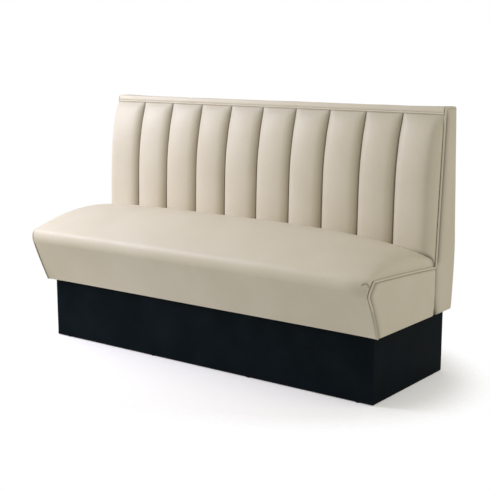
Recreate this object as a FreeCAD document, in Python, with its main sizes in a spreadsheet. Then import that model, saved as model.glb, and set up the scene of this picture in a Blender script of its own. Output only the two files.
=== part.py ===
import FreeCAD, Part
import math
import os
import Sketcher
from FreeCAD import Placement, Vector

# A diner booth bench, in millimetres.
# X runs along the bench, Y from the sitter's knees to the back, Z up from the floor.
# The origin is on the floor, under the middle of the whole booth.

# Driving sizes
SIZES = {
    # Whole booth
    "overall_width": 1500,
    "overall_depth": 612,
    "overall_height": 938,
    # Covering materials
    "cover_thickness": 1.5,
    "end_cover_thickness": 7,
    "welt_diameter": 7,
    "welt_stand_out": 2.5,
    "soft_clearance": 0.3,
    "seam_gap": 0.5,
    # Plinth
    "plinth_height": 230,
    "plinth_setback": 106,
    "plinth_end_setback": 25,
    "plinth_rear_setback": 26,
    "plinth_board_thickness": 18,
    "laminate_thickness": 1,
    "cleat_width": 40,
    "cleat_height": 40,
    "corner_block_width": 40,
    "corner_block_height": 120,
    "brace_thickness": 18,
    "brace_height": 120,
    "brace_end_inset": 390,
    "glide_radius": 9,
    "glide_height": 3,
    "glide_spike_radius": 1.5,
    "glide_spike_length": 16,
    "glide_end_inset": 60,
    # Screws, bolts, washers and nuts
    "fixing_end_inset": 150,
    "screw_radius": 3,
    "screw_head_radius": 6,
    "screw_head_height": 4,
    "screw_bite": 20,
    "bolt_radius": 4,
    "bolt_flat_to_centre": 6.5,
    "bolt_head_height": 5.3,
    "bolt_spare_length": 4,
    "nut_height": 6.5,
    "washer_radius": 10,
    "washer_thickness": 1.6,
    "bolt_drop": 50,
    "hole_clearance": 0.3,
    # Seat frame
    "frame_board_thickness": 15,
    "dust_cover_thickness": 0.5,
    "deck_drop": 7,
    "seat_front_padding": 14,
    "front_board_thickness": 12,
    "front_bottom_rail_depth": 55,
    "front_bottom_rail_height": 22,
    "front_spring_rail_depth": 40,
    "front_spring_rail_height": 26,
    "rear_rail_thickness": 22,
    "rib_thickness": 18,
    "rib_end_inset": 385,
    # Seat springs
    "spring_wire_radius": 2,
    "spring_end_inset": 120,
    "spring_width": 50,
    "spring_loop_radius": 10,
    "spring_front_inset": 18,
    "clip_width": 24,
    "clip_foot": 7,
    "clip_thickness": 1.2,
    "clip_slack": 0.3,
    "spring_pad_thickness": 6,
    # Seat outline at the two ends: setbacks from its foremost point, rises and lifts above its base
    "seat_base_rise": 127,
    "seat_end_bottom_setback": 85,
    "seat_end_base_setback": 28,
    "seat_end_base_lift": 10,
    "seat_end_edge_setback": 57,
    "seat_end_edge_rise": 67,
    "seat_end_rear_rise": 43,
    "seat_end_bow": 2,
    # Seat outline at the middle of the bench
    "seat_middle_bottom_setback": 93,
    "seat_middle_base_setback": 5,
    "seat_middle_base_lift": 31,
    "seat_middle_edge_setback": 20,
    "seat_middle_edge_rise": 85,
    "seat_middle_rear_rise": 127,
    "seat_middle_bow": 53,
    # Back frame
    "back_depth": 138,
    "back_top_setback": 35,
    "back_top_thickness": 78.5,
    "rear_belly_rise": 170,
    "rear_knee_rise": 100,
    "rear_knee_inset": 1.5,
    "rear_bottom_inset": 13,
    "front_padding": 8,
    "face_board_thickness": 6,
    "rear_board_thickness": 3,
    "lower_board_thickness": 18,
    "back_rail_thickness": 22,
    "back_bottom_rail_edge": 34,
    "back_middle_rail_drop": 338,
    "back_middle_rail_height": 80,
    "middle_upright_end_inset": 500,
    "top_rail_thickness": 18,
    "top_pad_thickness": 12,
    # Back upholstery
    "border_height": 23,
    "front_corner_radius": 6,
    "rear_corner_radius": 12,
    "channel_bulge": 22.5,
    "channel_end_tuck": 2,
    "channel_end_flare": 26,
    "edge_foam_width": 40,
    "welt_corner_radius": 9,
}

CHANNEL_COUNT = 10
SPRING_COUNT = 10
FIXING_COUNT = 4
GLIDE_COUNT = 4
BRACE_COUNT = 3
RIB_COUNT = 3
LOFT_DEGREE = 3
HEXAGON_HALF_ANGLE = math.pi / 6
SAME_PLACE = 1e-3
STRAIGHT_SHARE = 0.999

# How full the seat is between its ends and its middle
SEAT_SECTION_SHARES = (0, 0.4, 0.65, 0.8, 0.9, 0.95, 0.98, 1)
FRONT_FULLNESS_POWERS = (7, 3.2)
TOP_FULLNESS_POWERS = (6, 3.5)
REAR_FULLNESS_POWERS = (2, 2.4)

# The back's channels from the seat to the top seam, as shares of the panel's height, bulge and rise
CHANNEL_HEIGHT_SHARES = (0, 0.2, 0.39, 0.57, 0.67, 0.79, 0.87, 0.93, 0.965, 0.985, 1)
CHANNEL_BULGE_SHARES = (0.55, 0.73, 0.91, 1, 0.91, 0.62, 0.36, 0.14, 0.04, 0.01, 0)
CHANNEL_RISE_SHARES = (1, 1, 1, 1, 1, 0.98, 0.9, 0.75, 0.55, 0.32, 0.1)
CHANNEL_DEPTH_SHARE = 0.182
SHOULDER_WIDTH_SHARE = 0.71
SHOULDER_DROP_SHARE = 0.21

doc = FreeCAD.newDocument("booth_bench")
sizes = doc.addObject("Spreadsheet::Sheet", "sizes")
for row, (name, value) in enumerate(SIZES.items(), start=1):
    sizes.set(f"A{row}", name)
    sizes.set(f"B{row}", str(value))
    sizes.setAlias(f"B{row}", name)
doc.recompute()


# Lengths that keep their formula in the sheet
class Length:
    """A length with its value and the sheet formula that gives it."""

    def __init__(self, value, formula):
        self.value = value
        self.formula = formula

    def __add__(self, other):
        return Length(self.value + other.value, f"({self.formula} + {other.formula})")

    def __sub__(self, other):
        return Length(self.value - other.value, f"({self.formula} - {other.formula})")

    def __neg__(self):
        return Length(-self.value, f"(0 - {self.formula})")

    def __mul__(self, other):
        factor = as_length(other)
        return Length(self.value * factor.value, f"({self.formula} * {factor.formula})")

    def __truediv__(self, other):
        divisor = as_length(other)
        return Length(self.value / divisor.value, f"({self.formula} / {divisor.formula})")


def as_length(number):
    if isinstance(number, Length):
        return number
    return Length(number, f"{number:.12g}")


def size(name):
    return Length(float(sizes.get(name)), f"sizes.{name}")


ZERO = Length(0, "0")


# Levels and planes that several pieces share
half_width = size("overall_width") / 2
front_face = -size("overall_depth") / 2
rear_face = size("overall_depth") / 2
seat_rear = rear_face - size("back_depth")
frame_end = half_width - size("end_cover_thickness")
frame_inside = frame_end - size("frame_board_thickness")
seat_frame_bottom = size("plinth_height") + size("dust_cover_thickness")
seat_base = size("plinth_height") + size("seat_base_rise")
deck = seat_base - size("deck_drop")
seat_rail_top = deck - size("spring_pad_thickness") - size("spring_wire_radius") * 2
knee = seat_base + size("seat_end_rear_rise")
rear_belly = size("plinth_height") + size("rear_belly_rise")
rear_knee = rear_belly + size("rear_knee_rise")
back_board_top = size("overall_height") - size("cover_thickness") - size("top_pad_thickness")
upright_top = back_board_top - size("top_rail_thickness")
border_bottom = size("overall_height") - size("border_height")
channel_seam = border_bottom - size("welt_diameter")
face_front = size("front_padding")
face_rear = size("front_padding") + size("face_board_thickness")
rear_board_inside = size("cover_thickness") + size("rear_board_thickness")
welt_radius = size("welt_diameter") / 2


def between(start, end, share):
    return start + (end - start) * share


def seat_front(height, inset):
    """Where the sloping front of the seat's end outline stands at a height."""
    bottom = front_face + size("seat_end_bottom_setback")
    base = front_face + size("seat_end_base_setback")
    climb = (height - size("plinth_height")) / (size("seat_base_rise") + size("seat_end_base_lift"))
    return between(bottom, base, climb) + inset


def back_front(height, inset):
    """Where the raked front edge of the back stands at a height above its knee."""
    climb = (height - knee) / (size("overall_height") - knee)
    return seat_rear + size("back_top_setback") * climb + inset


def back_rear(height, inset):
    """Where the upper rear edge of the back stands at a height above its rear knee."""
    top = seat_rear + size("back_top_setback") + size("back_top_thickness")
    climb = (height - rear_knee) / (size("overall_height") - rear_knee)
    return between(rear_face - size("rear_knee_inset"), top, climb) - inset


def rear_corners(top, bottom, inset):
    """The rear edge from the top down: two corners, the bent lower side's middle and its end."""
    return (
        (back_rear(top, inset), top),
        (rear_face - size("rear_knee_inset") - inset, rear_knee),
        (rear_face - inset, rear_belly),
        (rear_face - size("rear_bottom_inset") - inset, bottom),
    )


# Making one piece
def new_body(label):
    body = doc.addObject("PartDesign::Body", label)
    body.Label = label
    body.AllowCompound = True
    return body


def origin_item(body, role):
    return next(item for item in body.Origin.OriginFeatures if item.Role == role)


def new_sketch(body, role, offset):
    sketch = body.newObject("Sketcher::SketchObject", f"{body.Name}_sketch")
    sketch.AttachmentSupport = [(origin_item(body, role), "")]
    sketch.MapMode = "FlatFace"
    sketch.setExpression("AttachmentOffset.Base.z", offset.formula)
    return sketch


def bind(sketch, kind, places, length):
    index = sketch.addConstraint(Sketcher.Constraint(kind, *places, length.value))
    sketch.setExpression(f"Constraints[{index}]", length.formula)


def bind_point(sketch, item, end, point):
    bind(sketch, "DistanceX", (-1, 1, item, end), point[0])
    bind(sketch, "DistanceY", (-1, 1, item, end), point[1])


def flat_point(point):
    return Vector(point[0].value, point[1].value, 0)


def draw_outline(sketch, corners, bends):
    """Draw a closed outline; bends gives the point that a side's arc passes through."""
    sides = []
    for index, corner in enumerate(corners):
        start = flat_point(corner)
        end = flat_point(corners[(index + 1) % len(corners)])
        if index in bends:
            item = sketch.addGeometry(Part.Arc(start, flat_point(bends[index]), end), False)
        else:
            item = sketch.addGeometry(Part.LineSegment(start, end), False)
        first = 1 if sketch.getPoint(item, 1).distanceToPoint(start) < SAME_PLACE else 2
        sides.append((item, first, 3 - first))
    for index, (item, first, last) in enumerate(sides):
        following, following_first, _ = sides[(index + 1) % len(sides)]
        sketch.addConstraint(Sketcher.Constraint("Coincident", item, last, following, following_first))
        bind_point(sketch, item, first, corners[index])
    for index, middle in bends.items():
        point = sketch.addGeometry(Part.Point(flat_point(middle)), True)
        bind_point(sketch, point, 1, middle)
        sketch.addConstraint(Sketcher.Constraint("PointOnObject", point, 1, sides[index][0]))


def add_pad(body, sketch, length):
    pad = body.newObject("PartDesign::Pad", f"{body.Name}_pad")
    pad.Profile = sketch
    pad.setExpression("Length", length.formula)
    sketch.Visibility = False
    return pad


def board(label, role, corners, start, length, bends=None):
    """A board or sheet: its outline on an origin plane, padded from start by length."""
    body = new_body(label)
    sketch = new_sketch(body, role, start)
    draw_outline(sketch, corners, bends or {})
    add_pad(body, sketch, length)
    return body


def cross_board(label, corners, half_length, bends=None):
    """A board that runs across the bench, drawn in its end view."""
    return board(label, "YZ_Plane", corners, -half_length, half_length * 2, bends)


def box_corners(low_x, high_x, low_y, high_y):
    return ((low_x, low_y), (high_x, low_y), (high_x, high_y), (low_x, high_y))


def draw_circle(sketch, centre, radius):
    circle = Part.Circle(flat_point(centre), Vector(0, 0, 1), radius.value)
    item = sketch.addGeometry(circle, False)
    bind_point(sketch, item, 3, centre)
    bind(sketch, "Radius", (item,), radius)


def round_pad(body, role, centre, radius, start, length):
    sketch = new_sketch(body, role, start)
    draw_circle(sketch, centre, radius)
    return add_pad(body, sketch, length)


def round_hole(body, role, centre, radius, surface, depth):
    """A round hole of a depth, cut from a surface plane into the piece."""
    sketch = new_sketch(body, role, surface)
    draw_circle(sketch, centre, radius)
    doc.recompute()
    pocket = body.newObject("PartDesign::Pocket", f"{body.Name}_hole")
    pocket.Profile = sketch
    pocket.SideType = "Symmetric"
    pocket.setExpression("Length", (depth * 2).formula)
    sketch.Visibility = False
    return pocket


def repeat(body, features, runs):
    """Repeat features in one or two runs, each an axis with a count and the span from first to last."""
    doc.recompute()
    pattern = body.newObject("PartDesign::LinearPattern", f"{body.Name}_row")
    pattern.Originals = features
    for ending, (axis, count, span) in zip(("", "2"), runs):
        setattr(pattern, f"Direction{ending}", (origin_item(body, f"{axis}_Axis"), [""]))
        setattr(pattern, f"Occurrences{ending}", count)
        pattern.setExpression(f"Length{ending}", span.formula)
    body.Tip = pattern


def box_pad(label, corners, start, length, runs):
    """A block or board padded from a box outline and repeated in runs."""
    body = new_body(label)
    sketch = new_sketch(body, "XY_Plane", start)
    draw_outline(sketch, corners, {})
    repeat(body, [add_pad(body, sketch, length)], runs)
    return body


def cross_edges(shape, places):
    """Names of the edges that run along the bench through the given (y, z) places."""
    names = []
    for index, edge in enumerate(shape.Edges, start=1):
        start, end = edge.Vertexes[0].Point, edge.Vertexes[-1].Point
        if abs(end.x - start.x) < edge.Length * STRAIGHT_SHARE:
            continue
        for y, z in places:
            if math.hypot(start.y - y.value, start.z - z.value) < SAME_PLACE:
                names.append(f"Edge{index}")
    return names


def round_edges(body, places, radius):
    doc.recompute()
    base = body.Tip
    fillet = body.newObject("PartDesign::Fillet", f"{body.Name}_rounding")
    fillet.Base = (base, cross_edges(base.Shape, places))
    fillet.setExpression("Radius", radius.formula)
    return fillet


def shaped_piece(label, shape):
    piece = doc.addObject("Part::Feature", label)
    piece.Label = label
    piece.Shape = shape
    piece.Placement = Placement()
    return piece


def mm(length):
    return length.value


# Plinth: four boards in black laminate, with cleats, corner blocks and braces inside
plinth_front = front_face + size("plinth_setback")
plinth_rear = rear_face - size("plinth_rear_setback")
plinth_end = half_width - size("plinth_end_setback")
carcass_end = plinth_end - size("laminate_thickness")
carcass_front = plinth_front + size("laminate_thickness")
board_inside_front = carcass_front + size("plinth_board_thickness")
board_inside_rear = plinth_rear - size("plinth_board_thickness")
board_inside_end = carcass_end - size("plinth_board_thickness")
panel_height = size("plinth_height") - size("glide_height")
glide_line = carcass_front + size("plinth_board_thickness") / 2
glide_start = -plinth_end + size("glide_end_inset")
glide_run = ("X", GLIDE_COUNT, -glide_start * 2)
glide_depth = board_inside_rear - carcass_front
fixing_start = size("fixing_end_inset") - half_width
fixing_run = ("X", FIXING_COUNT, -fixing_start * 2)

front_panel = board("plinth_front_panel", "XY_Plane",
                    box_corners(-carcass_end, carcass_end, carcass_front, board_inside_front),
                    size("glide_height"), panel_height)
rear_panel = board("plinth_rear_panel", "XY_Plane",
                   box_corners(-carcass_end, carcass_end, board_inside_rear, plinth_rear),
                   size("glide_height"), panel_height)
box_pad("plinth_end_panels",
        box_corners(-carcass_end, -board_inside_end, board_inside_front, board_inside_rear),
        size("glide_height"), panel_height, [("X", 2, carcass_end + board_inside_end)])
board("plinth_front_laminate", "XY_Plane",
      box_corners(-plinth_end, plinth_end, plinth_front, carcass_front),
      size("glide_height"), panel_height)
box_pad("plinth_end_laminates",
        box_corners(-plinth_end, -carcass_end, carcass_front, plinth_rear),
        size("glide_height"), panel_height, [("X", 2, plinth_end + carcass_end)])

# Nail-on glides under the front and rear boards, each a plastic disc on a steel spike
glides = new_body("plinth_glides")
glide_disc = round_pad(glides, "XY_Plane", (glide_start, glide_line), size("glide_radius"), ZERO,
                       size("glide_height"))
glide_spike = round_pad(glides, "XY_Plane", (glide_start, glide_line), size("glide_spike_radius"),
                        size("glide_height"), size("glide_spike_length"))
repeat(glides, [glide_disc, glide_spike], [glide_run, ("Y", 2, glide_depth)])
for panel, line in ((front_panel, glide_line), (rear_panel, glide_line + glide_depth)):
    spike_hole = round_hole(panel, "XY_Plane", (glide_start, line), size("glide_spike_radius"),
                            size("glide_height"), size("glide_spike_length"))
    repeat(panel, [spike_hole], [glide_run])

# Cleats along the top of the front and rear boards, drilled for the screws into the seat and the back
cleat_bottom = size("plinth_height") - size("cleat_height")
front_cleat_rear = board_inside_front + size("cleat_width")
rear_cleat_front = board_inside_rear - size("cleat_width")
front_screw_line = board_inside_front + size("cleat_width") / 2
rear_screw_line = board_inside_rear - size("cleat_width") / 2
cleat_run = ("Y", 2, rear_screw_line - front_screw_line)
screw_hole_radius = size("screw_radius") + size("hole_clearance")
screw_end = seat_frame_bottom + size("screw_bite")
cleats = box_pad("plinth_cleats",
                 box_corners(-board_inside_end, board_inside_end, board_inside_front, front_cleat_rear),
                 cleat_bottom, size("cleat_height"), [cleat_run])
cleat_hole = round_hole(cleats, "XY_Plane", (fixing_start, front_screw_line), screw_hole_radius,
                        cleat_bottom, size("cleat_height"))
repeat(cleats, [cleat_hole], [fixing_run, cleat_run])

# Corner blocks under the cleats, glued into the four corners
block_width = size("corner_block_width")
block_run = ("X", 2, board_inside_end * 2 - block_width)
block_depth_run = ("Y", 2, board_inside_rear - board_inside_front - block_width)
box_pad("plinth_corner_blocks",
        box_corners(-board_inside_end, block_width - board_inside_end,
                    board_inside_front, board_inside_front + block_width),
        cleat_bottom - size("corner_block_height"), size("corner_block_height"),
        [block_run, block_depth_run])

# Cross braces from cleat to cleat, level with the plinth's top
brace_line = size("brace_end_inset") - half_width
brace_half = size("brace_thickness") / 2
box_pad("plinth_cross_braces",
        box_corners(brace_line - brace_half, brace_line + brace_half, front_cleat_rear, rear_cleat_front),
        size("plinth_height") - size("brace_height"), size("brace_height"),
        [("X", BRACE_COUNT, -brace_line * 2)])

# Screws that rise through the cleats into the seat and the back
screws = new_body("mounting_screws")
screw_place = (fixing_start, front_screw_line)
screw_head = round_pad(screws, "XY_Plane", screw_place, size("screw_head_radius"),
                       cleat_bottom - size("screw_head_height"), size("screw_head_height"))
screw_shank = round_pad(screws, "XY_Plane", screw_place, size("screw_radius"), cleat_bottom,
                        screw_end - cleat_bottom)
repeat(screws, [screw_head, screw_shank], [fixing_run, cleat_run])


def screw_holes(body, line, surface, depth):
    hole = round_hole(body, "XY_Plane", (fixing_start, line), screw_hole_radius, surface, depth)
    repeat(body, [hole], [fixing_run])


# Seat frame: two profiled end boards, ribs, rails and a sloping front board
padding = size("seat_front_padding")
behind_board = padding + size("front_board_thickness")
end_board_corners = (
    (seat_front(seat_frame_bottom, padding), seat_frame_bottom),
    (seat_rear, seat_frame_bottom),
    (seat_rear, deck),
    (seat_front(deck, padding), deck),
)
board("seat_left_end_board", "YZ_Plane", end_board_corners, -frame_end, size("frame_board_thickness"))
board("seat_right_end_board", "YZ_Plane", end_board_corners, frame_inside, size("frame_board_thickness"))

cross_board("seat_front_board", (
    (seat_front(seat_frame_bottom, padding), seat_frame_bottom),
    (seat_front(seat_frame_bottom, behind_board), seat_frame_bottom),
    (seat_front(deck, behind_board), deck),
    (seat_front(deck, padding), deck),
), frame_inside)

bottom_rail_rear = seat_front(seat_frame_bottom, behind_board) + size("front_bottom_rail_depth")
bottom_rail_top = seat_frame_bottom + size("front_bottom_rail_height")
front_bottom_rail = cross_board("seat_front_bottom_rail", (
    (seat_front(seat_frame_bottom, behind_board), seat_frame_bottom),
    (bottom_rail_rear, seat_frame_bottom),
    (bottom_rail_rear, bottom_rail_top),
    (seat_front(bottom_rail_top, behind_board), bottom_rail_top),
), frame_inside)
screw_holes(front_bottom_rail, front_screw_line, seat_frame_bottom, size("screw_bite"))

spring_rail_bottom = seat_rail_top - size("front_spring_rail_height")
spring_rail_rear = seat_front(seat_rail_top, behind_board) + size("front_spring_rail_depth")
cross_board("seat_front_spring_rail", (
    (seat_front(spring_rail_bottom, behind_board), spring_rail_bottom),
    (spring_rail_rear, spring_rail_bottom),
    (spring_rail_rear, seat_rail_top),
    (seat_front(seat_rail_top, behind_board), seat_rail_top),
), frame_inside)

rear_rail_front = seat_rear - size("rear_rail_thickness")
bolt_hole_radius = size("bolt_radius") + size("hole_clearance")
bolt_place = (fixing_start, deck - size("bolt_drop"))


def bolt_holes(body, surface, depth):
    """Holes along Y; the plane's normal points to the sitter, so its offset is taken the other way."""
    hole = round_hole(body, "XZ_Plane", bolt_place, bolt_hole_radius, -surface, depth)
    repeat(body, [hole], [fixing_run])


rear_rail = cross_board("seat_rear_rail",
                        box_corners(rear_rail_front, seat_rear, seat_frame_bottom, seat_rail_top),
                        frame_inside)
bolt_holes(rear_rail, rear_rail_front, size("rear_rail_thickness"))

ribs = new_body("seat_ribs")
rib_line = size("rib_end_inset") - half_width
rib_sketch = new_sketch(ribs, "YZ_Plane", rib_line - size("rib_thickness") / 2)
draw_outline(rib_sketch, (
    (bottom_rail_rear, seat_frame_bottom),
    (rear_rail_front, seat_frame_bottom),
    (rear_rail_front, spring_rail_bottom),
    (seat_front(spring_rail_bottom, behind_board), spring_rail_bottom),
    (seat_front(bottom_rail_top, behind_board), bottom_rail_top),
    (bottom_rail_rear, bottom_rail_top),
), {})
rib_pad = add_pad(ribs, rib_sketch, size("rib_thickness"))
repeat(ribs, [rib_pad], [("X", RIB_COUNT, -rib_line * 2)])

dust_cover_front = seat_front(size("plinth_height"), padding)
dust_cover = board("seat_dust_cover", "XY_Plane",
                   box_corners(-frame_end, frame_end, dust_cover_front, seat_rear),
                   size("plinth_height"), size("dust_cover_thickness"))
screw_holes(dust_cover, front_screw_line, size("plinth_height"), size("dust_cover_thickness"))

# Sinuous springs: one unbroken wire each, half-circle loops joined by straight bars
spring_front = seat_front(seat_rail_top, behind_board) + size("spring_front_inset")
spring_rear = seat_rear - size("rear_rail_thickness") / 2
spring_level = seat_rail_top + size("spring_wire_radius")


def spring_wire(centre_x):
    loop = mm(size("spring_loop_radius"))
    reach = mm(size("spring_width")) / 2 - loop
    level = mm(spring_level)
    start = mm(spring_front)
    bars = int((mm(spring_rear) - start) / (2 * loop)) + 1
    gap = (mm(spring_rear) - start) / (bars - 1)
    edges = []
    side = 1
    for index in range(bars):
        y = start + index * gap
        left = Vector(centre_x - side * reach, y, level)
        right = Vector(centre_x + side * reach, y, level)
        edges.append(Part.LineSegment(left, right).toShape())
        if index < bars - 1:
            far = Vector(right.x + side * gap / 2, y + gap / 2, level)
            edges.append(Part.Arc(right, far, Vector(right.x, y + gap, level)).toShape())
        side = -side
    path = Part.Wire(edges)
    start_point = path.Edges[0].Vertexes[0].Point
    ring = Part.Wire([Part.Circle(start_point, Vector(1, 0, 0), mm(size("spring_wire_radius"))).toShape()])
    return path.makePipeShell([ring], True, False)


spring_line = size("spring_end_inset") - half_width
spring_pitch = mm(-spring_line * 2) / (SPRING_COUNT - 1)
first_spring = spring_wire(mm(spring_line))
springs = []
for index in range(SPRING_COUNT):
    copy = first_spring.copy()
    copy.translate(Vector(index * spring_pitch, 0, 0))
    springs.append(copy)
shaped_piece("seat_springs", Part.makeCompound(springs))

# Hat-shaped steel clips that hold each spring's end bars down on the rails
clip_inside = size("spring_wire_radius") + size("clip_slack")
clip_outside = clip_inside + size("clip_thickness")
clip_reach = clip_outside + size("clip_foot")
clip_roof = seat_rail_top + size("spring_wire_radius") * 2 + size("clip_slack")
clips = new_body("spring_clips")
clip_sketch = new_sketch(clips, "YZ_Plane", spring_line - size("clip_width") / 2)
draw_outline(clip_sketch, (
    (spring_front - clip_reach, seat_rail_top),
    (spring_front - clip_inside, seat_rail_top),
    (spring_front - clip_inside, clip_roof),
    (spring_front + clip_inside, clip_roof),
    (spring_front + clip_inside, seat_rail_top),
    (spring_front + clip_reach, seat_rail_top),
    (spring_front + clip_reach, seat_rail_top + size("clip_thickness")),
    (spring_front + clip_outside, seat_rail_top + size("clip_thickness")),
    (spring_front + clip_outside, clip_roof + size("clip_thickness")),
    (spring_front - clip_outside, clip_roof + size("clip_thickness")),
    (spring_front - clip_outside, seat_rail_top + size("clip_thickness")),
    (spring_front - clip_reach, seat_rail_top + size("clip_thickness")),
), {})
clip_pad = add_pad(clips, clip_sketch, size("clip_width"))
repeat(clips, [clip_pad], [("X", SPRING_COUNT, -spring_line * 2), ("Y", 2, spring_rear - spring_front)])

board("seat_spring_pad", "XY_Plane",
      box_corners(-frame_inside, frame_inside, spring_front + clip_reach, spring_rear - clip_reach),
      seat_rail_top + size("spring_wire_radius") * 2, size("spring_pad_thickness"))


# Seat upholstery: the outline changes from the ends to the crowned middle
def fullness(share, powers):
    return (1 - share ** powers[0]) ** (1 / powers[1])


def turned_in(way):
    """The inward side of a way that runs up the seat's front and back over its top."""
    return Vector(0, way.z, -way.y)


def mirrored(way, axis):
    return axis * (2 * way.dot(axis)) - way


def mitre(first_way, second_way):
    """How a corner moves when both of its sides move in by one unit."""
    first = turned_in(first_way)
    second = turned_in(second_way)
    return (first + second) / (1 + first.dot(second))


def arc_middle(start, heading, end):
    """The middle of the arc that leaves start along heading and ends at end."""
    chord = end - start
    turn = heading.getAngle(chord)
    side = (heading - chord * (heading.dot(chord) / chord.dot(chord))).normalize()
    return start + chord / 2 + side * (chord.Length / 2 * math.tan(turn / 2))


def end_heading(start, middle, end):
    """The way in which an arc from start through its middle arrives at end."""
    return mirrored((end - start).normalize(), (end - middle).normalize())


class SeatOutline:
    """The seat's outline in its end view, at a share of the way from the middle to an end."""

    def __init__(self, share, inset):
        front = fullness(share, FRONT_FULLNESS_POWERS)
        top = fullness(share, TOP_FULLNESS_POWERS)
        rear_share = fullness(share, REAR_FULLNESS_POWERS)
        foremost = mm(front_face)
        floor = mm(size("plinth_height"))
        bottom = Vector(0, foremost + self.blend("bottom_setback", front), floor)
        base_level = mm(seat_base) + self.blend("base_lift", front)
        base = Vector(0, foremost + self.blend("base_setback", front), base_level)
        edge_level = mm(seat_base) + self.blend("edge_rise", top)
        edge = Vector(0, foremost + self.blend("edge_setback", front), edge_level)
        rear = Vector(0, mm(seat_rear), mm(seat_base) + self.blend("rear_rise", rear_share))
        self.heading = (base - bottom).normalize()
        across = (rear - edge).normalize()
        crown = (edge + rear) / 2 - turned_in(across) * self.blend("bow", top)
        bullnose_end = end_heading(base, arc_middle(base, self.heading, edge), edge)
        crown_start = end_heading(rear, crown, edge) * -1
        crown_end = end_heading(edge, crown, rear)
        self.bottom = bottom + Vector(0, inset / self.heading.z, 0)
        self.base = base + turned_in(self.heading) * inset
        self.edge = edge + mitre(bullnose_end, crown_start) * inset
        self.crown = crown + turned_in(across) * inset
        self.rear = rear - Vector(0, 0, inset / crown_end.y)
        self.bullnose = arc_middle(self.base, self.heading, self.edge)

    def blend(self, name, share):
        end_value = mm(size(f"seat_end_{name}"))
        return end_value + (mm(size(f"seat_middle_{name}")) - end_value) * share

    def front_at(self, height):
        """The point on the sloping front at a height."""
        share = (height - self.bottom.z) / (self.base.z - self.bottom.z)
        return self.bottom + (self.base - self.bottom) * share


def moved(points, x):
    return [Vector(x, point.y, point.z) for point in points]


def closed_section(x, pieces):
    """A closed wire at x from pieces of two points for a line or three for an arc."""
    edges = []
    for piece in pieces:
        points = moved(piece, x)
        if len(points) == 2:
            edges.append(Part.LineSegment(*points).toShape())
        else:
            edges.append(Part.Arc(*points).toShape())
    return Part.Wire(edges)


def seat_cover_section(share, x):
    outer = SeatOutline(share, 0)
    inner = SeatOutline(share, mm(size("cover_thickness")))
    return closed_section(x, (
        (outer.bottom, outer.base),
        (outer.base, outer.bullnose, outer.edge),
        (outer.edge, outer.crown, outer.rear),
        (outer.rear, inner.rear),
        (inner.rear, inner.crown, inner.edge),
        (inner.edge, inner.bullnose, inner.base),
        (inner.base, inner.bottom),
        (inner.bottom, outer.bottom),
    ))


foam_inset = mm(size("cover_thickness") + size("soft_clearance"))


def seat_foam_section(share, x):
    outline = SeatOutline(share, foam_inset)
    low = mm(deck + size("soft_clearance"))
    front_low = outline.front_at(low)
    rear_low = Vector(0, outline.rear.y, low)
    return closed_section(x, (
        (front_low, outline.base),
        (outline.base, outline.bullnose, outline.edge),
        (outline.edge, outline.crown, outline.rear),
        (outline.rear, rear_low),
        (rear_low, front_low),
    ))


def front_foam_section(share, x):
    outline = SeatOutline(share, foam_inset)
    low = mm(seat_frame_bottom)
    high = mm(deck)
    back_inset = padding - size("soft_clearance")
    back_low = Vector(0, mm(seat_front(seat_frame_bottom, back_inset)), low)
    back_high = Vector(0, mm(seat_front(deck, back_inset)), high)
    front_low = outline.front_at(low)
    front_high = outline.front_at(high)
    return closed_section(x, (
        (front_low, front_high),
        (front_high, back_high),
        (back_high, back_low),
        (back_low, front_low),
    ))


def envelope_section(share, x):
    """The space that the seat fills, a clearance larger and carried back to the face board."""
    outline = SeatOutline(share, -mm(size("soft_clearance")))
    far = mm(seat_rear + size("front_padding") + size("channel_bulge"))
    far_top = Vector(0, far, outline.rear.z)
    far_low = Vector(0, far, outline.bottom.z)
    return closed_section(x, (
        (outline.bottom, outline.base),
        (outline.base, outline.bullnose, outline.edge),
        (outline.edge, outline.crown, outline.rear),
        (outline.rear, far_top),
        (far_top, far_low),
        (far_low, outline.bottom),
    ))


def across_bench(section):
    """A solid through sections from one end of the seat to the other."""
    reach = mm(frame_end)
    shares = [-share for share in reversed(SEAT_SECTION_SHARES[1:])] + list(SEAT_SECTION_SHARES)
    sections = [section(abs(share), share * reach) for share in shares]
    return Part.makeLoft(sections, True, False, False, LOFT_DEGREE)


shaped_piece("seat_cover", across_bench(seat_cover_section))
shaped_piece("seat_foam", across_bench(seat_foam_section))
shaped_piece("seat_front_foam", across_bench(front_foam_section))
seat_envelope = across_bench(envelope_section)

# Flat foam-backed end covers of the seat, inside the welt
end_inset = mm(size("welt_diameter"))
end_outline = SeatOutline(1, end_inset)
end_top = Vector(0, mm(seat_rear - size("seam_gap")), end_outline.rear.z)
end_low = Vector(0, end_top.y, end_outline.bottom.z)
for label, start in (("seat_left_end_cover", -half_width), ("seat_right_end_cover", frame_end)):
    end_section = closed_section(mm(start), (
        (end_outline.bottom, end_outline.base),
        (end_outline.base, end_outline.bullnose, end_outline.edge),
        (end_outline.edge, end_top),
        (end_top, end_low),
        (end_low, end_outline.bottom),
    ))
    shaped_piece(label, Part.Face(end_section).extrude(Vector(mm(size("end_cover_thickness")), 0, 0)))


# Welts: a covered cord sewn into the seams
def rounded_path(points, radius):
    """Edges along points, with every inside corner rounded."""
    edges = []
    last = points[0]
    for before, corner, after in zip(points, points[1:], points[2:]):
        back = (before - corner).normalize()
        ahead = (after - corner).normalize()
        turn = math.pi - back.getAngle(ahead)
        reach = radius * math.tan(turn / 2)
        start = corner + back * reach
        end = corner + ahead * reach
        edges.append(Part.LineSegment(last, start).toShape())
        edges.append(Part.Arc(start, arc_middle(start, back * -1, end), end).toShape())
        last = end
    edges.append(Part.LineSegment(last, points[-1]).toShape())
    return edges


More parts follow.
